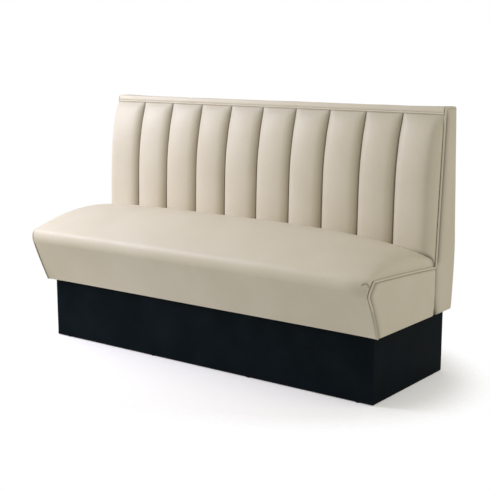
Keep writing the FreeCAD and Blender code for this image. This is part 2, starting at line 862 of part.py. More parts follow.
def cord(edges):
    path = Part.Wire(edges)
    start = path.OrderedVertexes[0].Point
    heading = edges[0].tangentAt(edges[0].FirstParameter)
    ring = Part.Wire([Part.Circle(start, heading, mm(welt_radius)).toShape()])
    return path.makePipeShell([ring], True, False)


seat_welt_outline = SeatOutline(1, mm(welt_radius))
welt_x = mm(half_width - welt_radius)


def seat_welt_edges(x):
    base = seat_welt_outline.base
    edge = seat_welt_outline.edge
    middle = seat_welt_outline.bullnose
    arc = Part.Arc(*moved((base, middle, edge), x))
    corner_length = mm(size("welt_corner_radius"))
    cut = arc.LastParameter - corner_length * (arc.LastParameter - arc.FirstParameter) / arc.length()
    short_end = arc.value(cut)
    leaving = arc.tangent(cut)[0]
    top_way = (seat_welt_outline.rear - edge).normalize()
    top_start = Vector(x, edge.y, edge.z) + top_way * corner_length
    return [
        Part.LineSegment(*moved((seat_welt_outline.bottom, base), x)).toShape(),
        Part.Arc(Vector(x, base.y, base.z), arc.value((arc.FirstParameter + cut) / 2), short_end).toShape(),
        Part.Arc(short_end, arc_middle(short_end, leaving, top_start), top_start).toShape(),
        Part.LineSegment(top_start, Vector(x, mm(seat_rear), seat_welt_outline.rear.z)).toShape(),
    ]


for label, x in (("seat_left_welt", -welt_x), ("seat_right_welt", welt_x)):
    shaped_piece(label, cord(seat_welt_edges(x)))

# Back frame: profiled uprights with rails, a lower front board, a face board and a bent rear board
lower_rear = seat_rear + size("lower_board_thickness")
upright_rear = rear_corners(upright_top, size("plinth_height"), rear_board_inside)
upright_corners = (
    (lower_rear, size("plinth_height")),
    (lower_rear, knee),
    (back_front(knee, face_rear), knee),
    (back_front(upright_top, face_rear), upright_top),
    upright_rear[0],
    upright_rear[1],
    upright_rear[3],
)
board("back_left_upright", "YZ_Plane", upright_corners, -frame_end, size("frame_board_thickness"),
      {5: upright_rear[2]})
board("back_right_upright", "YZ_Plane", upright_corners, frame_inside, size("frame_board_thickness"),
      {5: upright_rear[2]})

back_bottom_rail = cross_board("back_bottom_rail", box_corners(
    lower_rear, rear_screw_line + size("back_bottom_rail_edge"),
    size("plinth_height"), size("plinth_height") + size("back_rail_thickness")), frame_inside)
screw_holes(back_bottom_rail, rear_screw_line, size("plinth_height"), screw_end - size("plinth_height"))

rail_rear = face_rear + size("back_rail_thickness")
middle_rail_bottom = size("overall_height") - size("back_middle_rail_drop")
middle_rail_top = middle_rail_bottom + size("back_middle_rail_height")
cross_board("back_middle_rail", (
    (back_front(middle_rail_bottom, face_rear), middle_rail_bottom),
    (back_front(middle_rail_bottom, rail_rear), middle_rail_bottom),
    (back_front(middle_rail_top, rail_rear), middle_rail_top),
    (back_front(middle_rail_top, face_rear), middle_rail_top),
), frame_inside)

cross_board("back_top_rail", (
    (back_front(upright_top, face_rear), upright_top),
    (back_rear(upright_top, rear_board_inside), upright_top),
    (back_rear(back_board_top, rear_board_inside), back_board_top),
    (back_front(back_board_top, face_rear), back_board_top),
), frame_end)

middle_upright_bottom = size("plinth_height") + size("back_rail_thickness")
middle_rear = rear_corners(upright_top, middle_upright_bottom, rear_board_inside)
middle_uprights = new_body("back_middle_uprights")
middle_line = size("middle_upright_end_inset") - half_width
middle_sketch = new_sketch(middle_uprights, "YZ_Plane", middle_line - size("frame_board_thickness") / 2)
draw_outline(middle_sketch, (
    (lower_rear + size("back_rail_thickness"), middle_upright_bottom),
    (back_front(knee, rail_rear), knee),
    (back_front(upright_top, rail_rear), upright_top),
    middle_rear[0],
    middle_rear[1],
    middle_rear[3],
), {4: middle_rear[2]})
middle_pad = add_pad(middle_uprights, middle_sketch, size("frame_board_thickness"))
repeat(middle_uprights, [middle_pad], [("X", 2, -middle_line * 2)])

lower_board = cross_board("back_lower_board",
                          box_corners(seat_rear, lower_rear, size("plinth_height"), knee), frame_end)
bolt_holes(lower_board, lower_rear, size("lower_board_thickness"))

cross_board("back_face_board", (
    (back_front(knee, face_front), knee),
    (back_front(knee, face_rear), knee),
    (back_front(back_board_top, face_rear), back_board_top),
    (back_front(back_board_top, face_front), back_board_top),
), frame_end)


def bent_sheet(label, top, outer_inset, inner_inset):
    """A sheet that follows the back's rear edge."""
    outer = rear_corners(top, size("plinth_height"), outer_inset)
    inner = rear_corners(top, size("plinth_height"), inner_inset)
    corners = (outer[0], outer[1], outer[3], inner[3], inner[1], inner[0])
    return cross_board(label, corners, frame_end, {1: outer[2], 3: inner[2]})


bent_sheet("back_rear_board", back_board_top, size("cover_thickness"), rear_board_inside)
bent_sheet("back_rear_cover", back_board_top, ZERO, size("cover_thickness"))

# Bolts, washers and nuts that join the seat's rear rail to the back's lower board
washer_low = rear_rail_front - size("washer_thickness")
washer_high = lower_rear + size("washer_thickness")


def hexagon(centre, flat_to_centre):
    side_half = flat_to_centre * math.tan(HEXAGON_HALF_ANGLE)
    tip = side_half * 2
    return (
        (centre[0] + flat_to_centre, centre[1] + side_half),
        (centre[0], centre[1] + tip),
        (centre[0] - flat_to_centre, centre[1] + side_half),
        (centre[0] - flat_to_centre, centre[1] - side_half),
        (centre[0], centre[1] - tip),
        (centre[0] + flat_to_centre, centre[1] - side_half),
    )


bolts = new_body("joining_bolts")
head_sketch = new_sketch(bolts, "XZ_Plane", -washer_low)
draw_outline(head_sketch, hexagon(bolt_place, size("bolt_flat_to_centre")), {})
bolt_head = add_pad(bolts, head_sketch, size("bolt_head_height"))
bolt_end = washer_high + size("nut_height") + size("bolt_spare_length")
bolt_shank = round_pad(bolts, "XZ_Plane", bolt_place, size("bolt_radius"), -bolt_end,
                       bolt_end - washer_low)
repeat(bolts, [bolt_head, bolt_shank], [fixing_run])

washers = new_body("joining_washers")
seat_washer = round_pad(washers, "XZ_Plane", bolt_place, size("washer_radius"), -rear_rail_front,
                        size("washer_thickness"))
seat_washer_hole = round_hole(washers, "XZ_Plane", bolt_place, bolt_hole_radius, -rear_rail_front,
                              size("washer_thickness"))
repeat(washers, [seat_washer, seat_washer_hole], [fixing_run, ("Y", 2, washer_high - rear_rail_front)])

nuts = new_body("joining_nuts")
nut_sketch = new_sketch(nuts, "XZ_Plane", -(washer_high + size("nut_height")))
draw_outline(nut_sketch, hexagon(bolt_place, size("bolt_flat_to_centre")), {})
nut_pad = add_pad(nuts, nut_sketch, size("nut_height"))
nut_hole = round_hole(nuts, "XZ_Plane", bolt_place, size("bolt_radius"), -washer_high,
                      size("nut_height"))
repeat(nuts, [nut_pad, nut_hole], [fixing_run])

# Back upholstery above the channels: a soft pad and the plain border strip that wraps the top
pad_top = size("overall_height") - size("cover_thickness")
cover = size("cover_thickness")
top_pad = cross_board("back_top_pad", (
    (back_front(border_bottom, cover), border_bottom),
    (back_front(border_bottom, face_front), border_bottom),
    (back_front(back_board_top, face_front), back_board_top),
    (back_rear(back_board_top, cover), back_board_top),
    (back_rear(pad_top, cover), pad_top),
    (back_front(pad_top, cover), pad_top),
), frame_end)
round_edges(top_pad, [(back_rear(pad_top, cover), pad_top)], size("rear_corner_radius") - cover)
round_edges(top_pad, [(back_front(pad_top, cover), pad_top)], size("front_corner_radius") - cover)

border_top = size("overall_height")
border = cross_board("back_border_cover", (
    (back_front(border_bottom, ZERO), border_bottom),
    (back_front(border_bottom, cover), border_bottom),
    (back_front(pad_top, cover), pad_top),
    (back_rear(pad_top, cover), pad_top),
    (back_rear(back_board_top, cover), back_board_top),
    (back_rear(back_board_top, ZERO), back_board_top),
    (back_rear(border_top, ZERO), border_top),
    (back_front(border_top, ZERO), border_top),
), frame_end)
round_edges(border, [(back_rear(border_top, ZERO), border_top)], size("rear_corner_radius"))
round_edges(border, [(back_rear(pad_top, cover), pad_top)], size("rear_corner_radius") - cover)
round_edges(border, [(back_front(border_top, ZERO), border_top)], size("front_corner_radius"))
round_edges(border, [(back_front(pad_top, cover), pad_top)], size("front_corner_radius") - cover)


# Channels: ten stuffed tubes sewn side by side, bulging most at the sitter's back
pitch = mm(frame_end) * 2 / CHANNEL_COUNT


class ChannelLevel:
    """The back's front surface at one height: the grooves, the crests and the ends."""

    def __init__(self, index):
        self.height = between(knee, channel_seam, CHANNEL_HEIGHT_SHARES[index])
        edge = mm(back_front(self.height, ZERO))
        self.z = mm(self.height)
        self.edge = edge
        self.groove = edge - mm(size("channel_bulge")) * CHANNEL_BULGE_SHARES[index]
        self.back = edge + mm(face_front - size("soft_clearance"))
        self.rise = pitch * CHANNEL_DEPTH_SHARE * CHANNEL_RISE_SHARES[index]
        self.end = edge + mm(size("channel_end_tuck"))

    def at(self, x, y):
        return Vector(x, y, self.z)


def channel_sides(index):
    """Where a channel starts and ends; the outer side of an end channel stops at its flare."""
    left = -mm(frame_end) + index * pitch
    right = left + pitch
    reach = mm(frame_end - size("channel_end_flare"))
    return max(left, -reach), min(right, reach)


def channel_front(level, index, inset, narrowing):
    """The arcs of one channel's front, from its left foot to its right foot."""
    left, right = channel_sides(index)
    middle = (left + right) / 2
    half = (right - left) / 2 - narrowing
    foot_y = level.groove + inset
    crest = level.at(middle, foot_y - level.rise)
    sides = []
    for side in (-1, 1):
        foot = level.at(middle + side * half, foot_y)
        shoulder = level.at(middle + side * half * SHOULDER_WIDTH_SHARE,
                            crest.y + level.rise * SHOULDER_DROP_SHARE)
        heading = mirrored(Vector(side, 0, 0), (shoulder - crest).normalize())
        sides.append((shoulder, arc_middle(shoulder, heading, foot), foot))
    first, last = sides
    return [tuple(reversed(first)), (first[0], crest, last[0]), last]


def end_flare(level, outer_arc, side, inset, end_gap):
    """The hollow arc that carries an end channel's outer foot out to the end welt."""
    foot = outer_arc[2]
    tip = level.at(side * (mm(frame_end) - end_gap), level.end + inset)
    return (foot, arc_middle(foot, end_heading(*outer_arc), tip), tip)


def flared_front(level, index, inset, narrowing, end_gap):
    """One channel's front with the flare of an end channel."""
    front = channel_front(level, index, inset, narrowing)
    if index == 0:
        flare = end_flare(level, tuple(reversed(front[0])), -1, inset, end_gap)
        return [tuple(reversed(flare))] + front
    if index == CHANNEL_COUNT - 1:
        return front + [end_flare(level, front[-1], 1, inset, end_gap)]
    return front


def wire_of(pieces):
    edges = []
    for piece in pieces:
        edges.append((Part.LineSegment if len(piece) == 2 else Part.Arc)(*piece).toShape())
    return Part.Wire(edges)


def reverse(pieces):
    return [tuple(reversed(piece)) for piece in reversed(pieces)]


def channel_cover_section(level):
    """The sewn cover of all the channels: its front from left to right, then its back surface."""
    thickness = mm(size("cover_thickness"))
    pieces = []
    inside = []
    for index in range(CHANNEL_COUNT):
        pieces += flared_front(level, index, 0, 0, 0)
        inside.append(reverse(flared_front(level, index, thickness, thickness, 0)))
    here = pieces[-1][-1]
    for front in reversed(inside):
        pieces += [(here, front[0][0])] + front
        here = front[-1][-1]
    return wire_of(pieces + [(here, pieces[0][0])])


def joined(points):
    return list(zip(points, points[1:]))


def channel_foam_section(level, index):
    """An end channel's foam also wraps round the end of the base foam, down to the face board."""
    clearance = mm(size("soft_clearance"))
    front = flared_front(level, index, foam_inset, foam_inset, clearance)
    start = front[0][0]
    finish = front[-1][-1]
    seat = level.groove + foam_inset + clearance
    wrap = base_foam_end + clearance
    back = [finish]
    if finish.x > wrap:
        back += [level.at(finish.x, level.back), level.at(wrap, level.back), level.at(wrap, seat)]
    else:
        back += [level.at(finish.x, seat)]
    if start.x < -wrap:
        back += [level.at(-wrap, seat), level.at(-wrap, level.back), level.at(start.x, level.back)]
    else:
        back += [level.at(start.x, seat)]
    return wire_of(front + joined(back + [start]))


def base_foam_section(level):
    front = level.groove + foam_inset + mm(size("soft_clearance")) * 2
    corners = [
        level.at(-base_foam_end, front),
        level.at(base_foam_end, front),
        level.at(base_foam_end, level.back),
        level.at(-base_foam_end, level.back),
    ]
    return wire_of(joined(corners + [corners[0]]))


base_foam_end = mm(frame_end - size("edge_foam_width"))
levels = [ChannelLevel(index) for index in range(len(CHANNEL_HEIGHT_SHARES))]


def up_the_back(section):
    return Part.makeLoft([section(level) for level in levels], True, False, False, LOFT_DEGREE)


for index in range(CHANNEL_COUNT):
    foam = up_the_back(lambda level: channel_foam_section(level, index))
    shaped_piece(f"channel_foam_{index + 1:02d}", foam.cut(seat_envelope))
shaped_piece("back_channel_cover", up_the_back(channel_cover_section).cut(seat_envelope))
shaped_piece("back_base_foam", up_the_back(base_foam_section).cut(seat_envelope))

# Welt between the channels and the border strip
top_welt_z = mm(channel_seam + welt_radius)
top_welt_y = mm(back_front(channel_seam, ZERO) + welt_radius - size("welt_stand_out"))
top_welt_start = Vector(-mm(frame_end), top_welt_y, top_welt_z)
top_welt = Part.makeCylinder(mm(welt_radius), mm(frame_end) * 2, top_welt_start, Vector(1, 0, 0))
shaped_piece("back_top_welt", top_welt)

# End welts of the back: up the front edge, over the top and down to the rear cover
cord_top = border_top - welt_radius
welt_path = [
    (back_front(knee, welt_radius), knee),
    (back_front(cord_top, welt_radius), cord_top),
    (back_rear(cord_top, welt_radius), cord_top),
    (back_rear(back_board_top, welt_radius), back_board_top),
]
for label, x in (("back_left_welt", -welt_x), ("back_right_welt", welt_x)):
    path_points = [Vector(x, mm(y), mm(z)) for y, z in welt_path]
    shaped_piece(label, cord(rounded_path(path_points, mm(size("welt_corner_radius")))))

# Flat foam-backed end covers of the back, inside the welt
welt_room = size("welt_diameter")
cover_top = size("overall_height") - welt_room
rear_side = rear_corners(back_board_top, size("plinth_height"), ZERO)
back_end_corners = (
    (seat_rear + size("seam_gap"), size("plinth_height")),
    (seat_rear + size("seam_gap"), knee),
    (back_front(knee, welt_room), knee),
    (back_front(cover_top, welt_room), cover_top),
    (back_rear(cover_top, welt_room), cover_top),
    (back_rear(back_board_top, welt_room), back_board_top),
    rear_side[0],
    rear_side[1],
    rear_side[3],
)
board("back_left_end_cover", "YZ_Plane", back_end_corners, -half_width, size("end_cover_thickness"),
      {7: rear_side[2]})
board("back_right_end_cover", "YZ_Plane", back_end_corners, frame_end, size("end_cover_thickness"),
      {7: rear_side[2]})

# Check every object, then write each piece
doc.recompute()
for item in doc.Objects:
    if "Invalid" in item.State or "Error" in item.State:
        raise RuntimeError(f"{item.Label} failed: {item.State}")
pieces = [item for item in doc.Objects if item.TypeId in ("PartDesign::Body", "Part::Feature")]
for piece in pieces:
    if piece.Shape.isNull() or not piece.Shape.isValid():
        raise RuntimeError(f"{piece.Label} has no valid shape")
os.makedirs("parts", exist_ok=True)
for piece in pieces:
    piece.Shape.exportStep(f"parts/{piece.Label}.step")
    print(f"{piece.Label}: {len(piece.Shape.Solids)} solid(s), {piece.Shape.Volume / 1000:.1f} cm3")
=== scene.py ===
import math

import bpy
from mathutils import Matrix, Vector, noise


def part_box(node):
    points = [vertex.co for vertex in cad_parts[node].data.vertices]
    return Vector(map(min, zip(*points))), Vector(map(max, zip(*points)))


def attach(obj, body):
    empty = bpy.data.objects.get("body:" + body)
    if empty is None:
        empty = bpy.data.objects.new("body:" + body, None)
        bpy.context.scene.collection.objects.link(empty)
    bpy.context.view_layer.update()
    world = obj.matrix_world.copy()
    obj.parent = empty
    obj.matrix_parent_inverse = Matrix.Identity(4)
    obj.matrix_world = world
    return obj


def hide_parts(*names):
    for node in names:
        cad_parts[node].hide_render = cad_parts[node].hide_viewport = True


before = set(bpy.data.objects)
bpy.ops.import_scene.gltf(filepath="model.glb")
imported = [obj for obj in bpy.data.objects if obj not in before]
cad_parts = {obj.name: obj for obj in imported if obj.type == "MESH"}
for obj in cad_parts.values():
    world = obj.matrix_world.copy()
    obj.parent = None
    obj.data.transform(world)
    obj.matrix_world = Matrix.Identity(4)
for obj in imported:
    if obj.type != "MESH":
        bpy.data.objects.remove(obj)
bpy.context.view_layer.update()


# Plinth facing: black high-pressure laminate, paper pressed with melamine, glued to the front and
# the two ends of the plinth and trimmed flush at the corners with a fine dark edge.
LAMINATE_BLACK = "10171C"
LAMINATE_WORN = "181F24"


def linear(colour):
    """An sRGB hex colour as the linear red, green, blue and alpha of a shader."""
    parts = [int(colour[place:place + 2], 16) / 255 for place in (0, 2, 4)]
    return [part / 12.92 if part <= .04045 else ((part + .055) / 1.055) ** 2.4
            for part in parts] + [1]


def join(tree, node, links):
    """Links sources into a node's inputs."""
    for name, source in dict(links).items():
        tree.links.new(source, node.inputs[name])


def add(tree, kind, settings=(), links=()):
    """Adds one node with its settings and with links into its inputs."""
    made = tree.nodes.new("ShaderNode" + kind)
    for name, value in dict(settings).items():
        if name == "stops":
            for element, (place, colour) in zip(made.color_ramp.elements, value):
                element.position = place
                element.color = linear(colour)
        elif isinstance(name, str) and name.islower():
            setattr(made, name, value)
        else:
            made.inputs[name].default_value = value
    join(tree, made, links)
    return made


def ramp(tree, low, high, source):
    """A colour that follows a source between two stops, each a place and a colour."""
    return add(tree, "ValToRGB", {"stops": (low, high)}, {"Fac": source}).outputs["Color"]


def cloudy(tree, place, size, detail, roughness=.5, distortion=0):
    """The share of a noise whose clouds are a size in metres."""
    return add(tree, "TexNoise", {
        "Scale": 1 / size, "Detail": detail, "Roughness": roughness, "Distortion": distortion,
    }, {"Vector": place}).outputs["Fac"]


def ranged(tree, value, low, high, start=0, end=1):
    """A value's range from start to end, taken over to the range from low to high."""
    return add(tree, "MapRange", {
        "From Min": start, "From Max": end, "To Min": low, "To Max": high,
    }, {"Value": value}).outputs["Result"]


def relief(tree, strength, distance, height):
    """The normals of a bump that follows a height."""
    made = add(tree, "Bump", {"Strength": strength, "Distance": distance}, {"Height": height})
    return made.outputs["Normal"]


def new_finish(name, shader_settings):
    """A material with its node tree, its surface shader and its object coordinates in metres."""
    finish = bpy.data.materials.new(name)
    finish.use_nodes = True
    tree = finish.node_tree
    tree.nodes.clear()
    shader = add(tree, "BsdfPrincipled", shader_settings)
    add(tree, "OutputMaterial", (), {"Surface": shader.outputs[0]})
    place = add(tree, "TexCoord").outputs["Object"]
    return finish, tree, shader, place


def dress(finish, *nodes):
    """Gives CAD nodes that are shown as they are their real finish."""
    for name in nodes:
        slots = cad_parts[name].data.materials
        slots.clear()
        slots.append(finish)


laminate, tree, shader, place = new_finish("black_laminate", {
    "Specular IOR Level": .015, "Roughness": .42, "IOR": 1.5,
})
# Handling leaves faint matt clouds about 120 mm across, and the pressed paper a grit of 1 mm,
# drawn at 2 mm so that it shows.
clouds = cloudy(tree, place, .12, 4, .6)
join(tree, shader, {
    "Base Color": ramp(tree, (.35, LAMINATE_BLACK), (.85, LAMINATE_WORN), clouds),
    "Roughness": ranged(tree, clouds, .38, .52),
    "Normal": relief(tree, .08, .0002, cloudy(tree, place, .002, 2)),
})
dress(laminate, "plinth_front_laminate", "plinth_end_laminates")


# Plinth boards: 18 mm birch plywood, screwed and glued at the corners. The rear board is stained
# black, since it stands in sight when the booth is moved away from a wall.
BIRCH_FACE = "CDAE80"
BIRCH_GRAIN = "B8935F"
BIRCH_EDGE_DARK = "8A6238"
VENEER = .0014


def plywood(name, thin_axis, light, grain, dark, roughness):
    """Sanded plywood: long grain on the faces, and veneers in turn light and dark on the edges."""
    finish, tree, shader, place = new_finish(name, {"Roughness": roughness, "IOR": 1.5})
    stretch = (1, .12, 1) if thin_axis == 0 else (.12, 1, 1)
    long_grain = add(tree, "Mapping", {"Scale": stretch}, {"Vector": place})
    streaks = cloudy(tree, long_grain.outputs["Vector"], .006, 6, .65, .4)
    axes = add(tree, "SeparateXYZ", (), {"Vector": place})
    layer = add(tree, "Math", {"operation": "PINGPONG", 1: VENEER}, {0: axes.outputs[thin_axis]})
    band = ranged(tree, layer.outputs[0], 0, 1, 0, VENEER)
    side = add(tree, "SeparateXYZ", (), {"Vector": add(tree, "NewGeometry").outputs["Normal"]})
    facing = add(tree, "Math", {"operation": "ABSOLUTE"}, {0: side.outputs[thin_axis]})
    on_edge = add(tree, "Math", {"operation": "LESS_THAN", 1: .6}, {0: facing.outputs[0]})
    colour = add(tree, "Mix", {"data_type": "RGBA"}, {
        0: on_edge.outputs[0],
        6: ramp(tree, (.3, grain), (.7, light), streaks),
        7: ramp(tree, (.42, dark), (.58, light), band),
    })
    join(tree, shader, {"Base Color": colour.outputs[2],
                        "Normal": relief(tree, .25, .0003, streaks)})
    return finish


birch_along_x = plywood("birch_plywood_crosswise", 1, BIRCH_FACE, BIRCH_GRAIN, BIRCH_EDGE_DARK, .55)
birch_along_y = plywood("birch_plywood_endwise", 0, BIRCH_FACE, BIRCH_GRAIN, BIRCH_EDGE_DARK, .55)
stained = plywood("black_stained_plywood", 1, "1B1A19", "141312", "100F0E", .6)
dress(birch_along_x, "plinth_front_panel")
dress(birch_along_y, "plinth_end_panels")
dress(stained, "plinth_rear_panel")


# Cleats, corner blocks and cross braces: planed pine, glued and screwed inside the plinth, so the
# seat and the back can be screwed down from below.
PINE_EARLY = "DDBE8B"
PINE_LATE = "B98A52"
RING_WIDTH = .004


def grained(tree, shader, source, low, high, strength, distance):
    """Lets one texture tint a surface between two stops and raise its grain."""
    join(tree, shader, {"Base Color": ramp(tree, low, high, source),
                        "Normal": relief(tree, strength, distance, source)})


def pine(name, long_axis):
    """Planed pine: growth rings stretched along the length, with a little waviness."""
    finish, tree, shader, place = new_finish(name, {"Roughness": .6, "IOR": 1.5})
    stretch = [1, 1, 1]
    stretch[long_axis] = .05
    grain = add(tree, "Mapping", {"Scale": stretch}, {"Vector": place})
    rings = add(tree, "TexWave", {
        "wave_type": "RINGS", "rings_direction": "XYZ"[long_axis], "Scale": 1 / (RING_WIDTH * 20),
        "Distortion": 4, "Detail": 2, "Detail Scale": 1.2,
    }, {"Vector": grain.outputs["Vector"]})
    grained(tree, shader, rings.outputs["Fac"], (.2, PINE_EARLY), (.95, PINE_LATE), .2, .0003)
    return finish


pine_along_x = pine("planed_pine_lengthwise", 0)
pine_upright = pine("planed_pine_upright", 2)
pine_along_y = pine("planed_pine_crosswise", 1)
dress(pine_along_x, "plinth_cleats")
dress(pine_upright, "plinth_corner_blocks")
dress(pine_along_y, "plinth_cross_braces")


# Glides and screws: moulded polyethylene discs nailed under the plinth, and zinc-plated screws that
# hold the seat and the back down on the plinth's cleats.
GLIDE_BLACK = "18191A"
GLIDE_WORN = "242526"
ZINC = "B9BCBE"
ZINC_DULL = "9A9DA0"

polyethylene, tree, shader, place = new_finish("moulded_polyethylene", {
    "Roughness": .5, "IOR": 1.51, "Specular IOR Level": .3,
})
# The mould's fine spark texture, 0.4 mm, drawn at 0.8 mm.
spark = cloudy(tree, place, .0008, 2)
grained(tree, shader, spark, (.3, GLIDE_BLACK), (.8, GLIDE_WORN), .3, .0001)
dress(polyethylene, "plinth_glides")


def plated(name, colour, dull, roughness, spread):
    """Metal with a bright, slightly cloudy surface and drawing marks 0.33 mm apart."""
    finish, tree, shader, place = new_finish(name, {"Metallic": 1, "Roughness": roughness})
    cloud = cloudy(tree, place, .006, 4)
    marks = cloudy(tree, place, .00033, 1)
    join(tree, shader, {
        "Base Color": ramp(tree, (.3, dull), (.7, colour), cloud),
        "Roughness": ranged(tree, cloud, roughness - spread, roughness + spread),
        "Normal": relief(tree, .1, .0001, marks),
    })
    return finish


zinc_plate = plated("zinc_plated_steel", ZINC, ZINC_DULL, .32, .08)
dress(zinc_plate, "mounting_screws")


# Seat frame: profiled end boards, ribs and a sloping front board of birch plywood, with planed pine
# rails glued and stapled between them.
dress(birch_along_y, "seat_left_end_board", "seat_right_end_board", "seat_ribs")
dress(birch_along_x, "seat_front_board")
dress(pine_along_x, "seat_front_bottom_rail", "seat_front_spring_rail", "seat_rear_rail")


# Dust cover: thin spunbonded black cloth, stapled flat under the seat frame and over the plinth's
# top, with a slight sag between the ribs.
CLOTH_BLACK = "1A1A1B"
CLOTH_LINT = "2A2A2C"
MM = .001


def put_in(name, data):
    """A new object in the scene."""
    made = bpy.data.objects.new(name, data)
    bpy.context.scene.collection.objects.link(made)
    return made


def new_piece(name, points, faces, finish, slot, painted_shades=()):
    """A mesh in metres from points in millimetres, riding on the booth's one body. The painted
    shades say how much painted shade each point gets in its fold, for the leatherette's colour."""
    mesh = bpy.data.meshes.new(name)
    mesh.from_pydata([Vector(point) * MM for point in points], [], faces)
    mesh.update()
    mesh.polygons.foreach_set("use_smooth", [True] * len(mesh.polygons))
    mesh.set_sharp_from_angle(angle=math.radians(50))
    mesh.materials.append(finish)
    # Painted shade: a point attribute that darkens the leatherette where a point lies in a fold.
    if painted_shades:
        mesh.attributes.new("painted_shade", "FLOAT", "POINT").data.foreach_set("value", painted_shades)
    piece = put_in(name, mesh)
    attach(piece, "root")
    return piece


def skin_rows(rows, closed):
    """Points and faces of a skin through equal rows of points. A closed one is a tube: each row's
    ends are joined, and a cap closes the first row and the last."""
    points = [point for row in rows for point in row]
    width = len(rows[0])
    faces = []
    for row in range(len(rows) - 1):
        for column in range(width if closed else width - 1):
            beside = (column + 1) % width
            faces.append((row * width + column, row * width + beside,
                          (row + 1) * width + beside, (row + 1) * width + column))
    if closed:
        last = len(points) - 1
        faces += [tuple(range(width)), tuple(range(last, last - width, -1))]
    return points, faces


def steps(low, high, count):
    """Evenly spaced values from low to high."""
    return [low + (high - low) * step / (count - 1) for step in range(count)]


nonwoven, tree, shader, place = new_finish("spunbonded_dust_cloth", {
    "Roughness": .9, "Sheen Weight": .2,
})
# Fused fibres 0.03 mm thick lie in clumps of 1.5 mm, which is what the eye sees.
fibres = add(tree, "TexVoronoi", {"Scale": 1 / .0015}, {"Vector": place})
grained(tree, shader, fibres.outputs["Distance"], (.1, CLOTH_LINT), (.7, CLOTH_BLACK), .4, .0002)

cloth_low, cloth_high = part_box("seat_dust_cover")
cloth_rows = []
for x in steps(cloth_low.x / MM, cloth_high.x / MM, 90):
    cloth_rows.append([(x, y, cloth_low.z / MM + .25 + .15 * math.sin(x / 55) * math.sin(y / 40))
                       for y in steps(cloth_low.y / MM, cloth_high.y / MM, 30)])
dust_cover = new_piece("dust_cover_cloth", *skin_rows(cloth_rows, False), nonwoven,
                       "black nonwoven")
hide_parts("seat_dust_cover")


# Springs and clips: sinuous springs of oiled high-carbon wire, hooked in zinc-plated clips that are
# nailed on the front and rear rails.
WIRE = "55575A"
WIRE_DULL = "3A3B3D"

spring_steel = plated("oiled_spring_wire", WIRE, WIRE_DULL, .4, .06)
dress(spring_steel, "seat_springs")
dress(zinc_plate, "spring_clips")


# Insulator pad: needled waste-fibre felt over the springs, so the wire doesn't cut into the foam.
FELT_DARK = "59544D"
FELT_LIGHT = "948D82"

felt, tree, shader, place = new_finish("needled_fibre_felt", {"Roughness": 1, "Sheen Weight": .3})
# Matted tufts about 3 mm across in mixed greys.
tufts = cloudy(tree, place, .003, 8, .75)
grained(tree, shader, tufts, (.3, FELT_DARK), (.72, FELT_LIGHT), .8, .001)

pad_low, pad_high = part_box("seat_spring_pad")
pad_rows = []
for x in steps(pad_low.x / MM, pad_high.x / MM, 80):
    front, rear = pad_low.y / MM, pad_high.y / MM
    bottom, top = pad_low.z / MM + .2, pad_high.z / MM - .2
    pad_rows.append([(x, y, bottom) for y in steps(front, rear, 20)]
                    + [(x, y, top - .3 + .3 * noise.noise(Vector((x / 30, y / 30, 0))))
                       for y in steps(rear, front, 20)])
spring_pad = new_piece("insulator_pad", *skin_rows(pad_rows, True), felt, "insulator felt")
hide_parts("seat_spring_pad")


# Seat cushion: a thick block of cut foam, crowned towards the middle and rolled over the front,
# under one tight panel of smooth cream leatherette that is pulled down and stapled under the frame.
RIGHT_END = {"bottom_setback": 85, "base_setback": 28, "base_rise": 10, "edge_setback": 57,
             "edge_rise": 67, "rear_rise": 43, "bow": 2, "hollow": 5}
LEFT_END = {"bottom_setback": 80.5, "base_setback": 11, "base_rise": 34, "edge_setback": 21,
            "edge_rise": 82, "rear_rise": 48, "bow": 10, "hollow": -2}
SEAT_MIDDLE = {"bottom_setback": 93, "base_setback": 12, "base_rise": 31, "edge_setback": 23,
               "edge_rise": 85, "rear_rise": 127, "bow": 54, "hollow": 2.5}
# Powers of the front's, the top's and the rear's fullness. The right rear corner stands a little
# above the welt, so some of a squarer fullness is mixed in there.
RIGHT_FULLNESS = ((7, 3.2), (6, 3), (2.2, 1.45))
LEFT_FULLNESS = ((8, 2.4), (6.5, 7), (7, 5.5))
REAR_CORNER = .25
REAR_CORNER_POWERS = (200, 2)
RIGHT_CORNER = math.radians(55)
LEFT_CORNER = math.radians(21)
ROLL_HANDLE = .38
BENCH_FRONT = -306
SEAT_LOW = 230
SEAT_BASE = 357
SEAT_REAR = 168
DECK = 350.3
BOARD_FACE = -207.3
BOARD_RAKE = 53 / 127
FRAME_END = 743
LEATHER_LIGHT = "DDD6C4"
LEATHER_MID = "D7CFBB"
LEATHER_CREASE = "C9C0A9"
# The dark tone of the shade painted into the leatherette's folds.
PAINTED_SHADE_TONE = "4A4133"


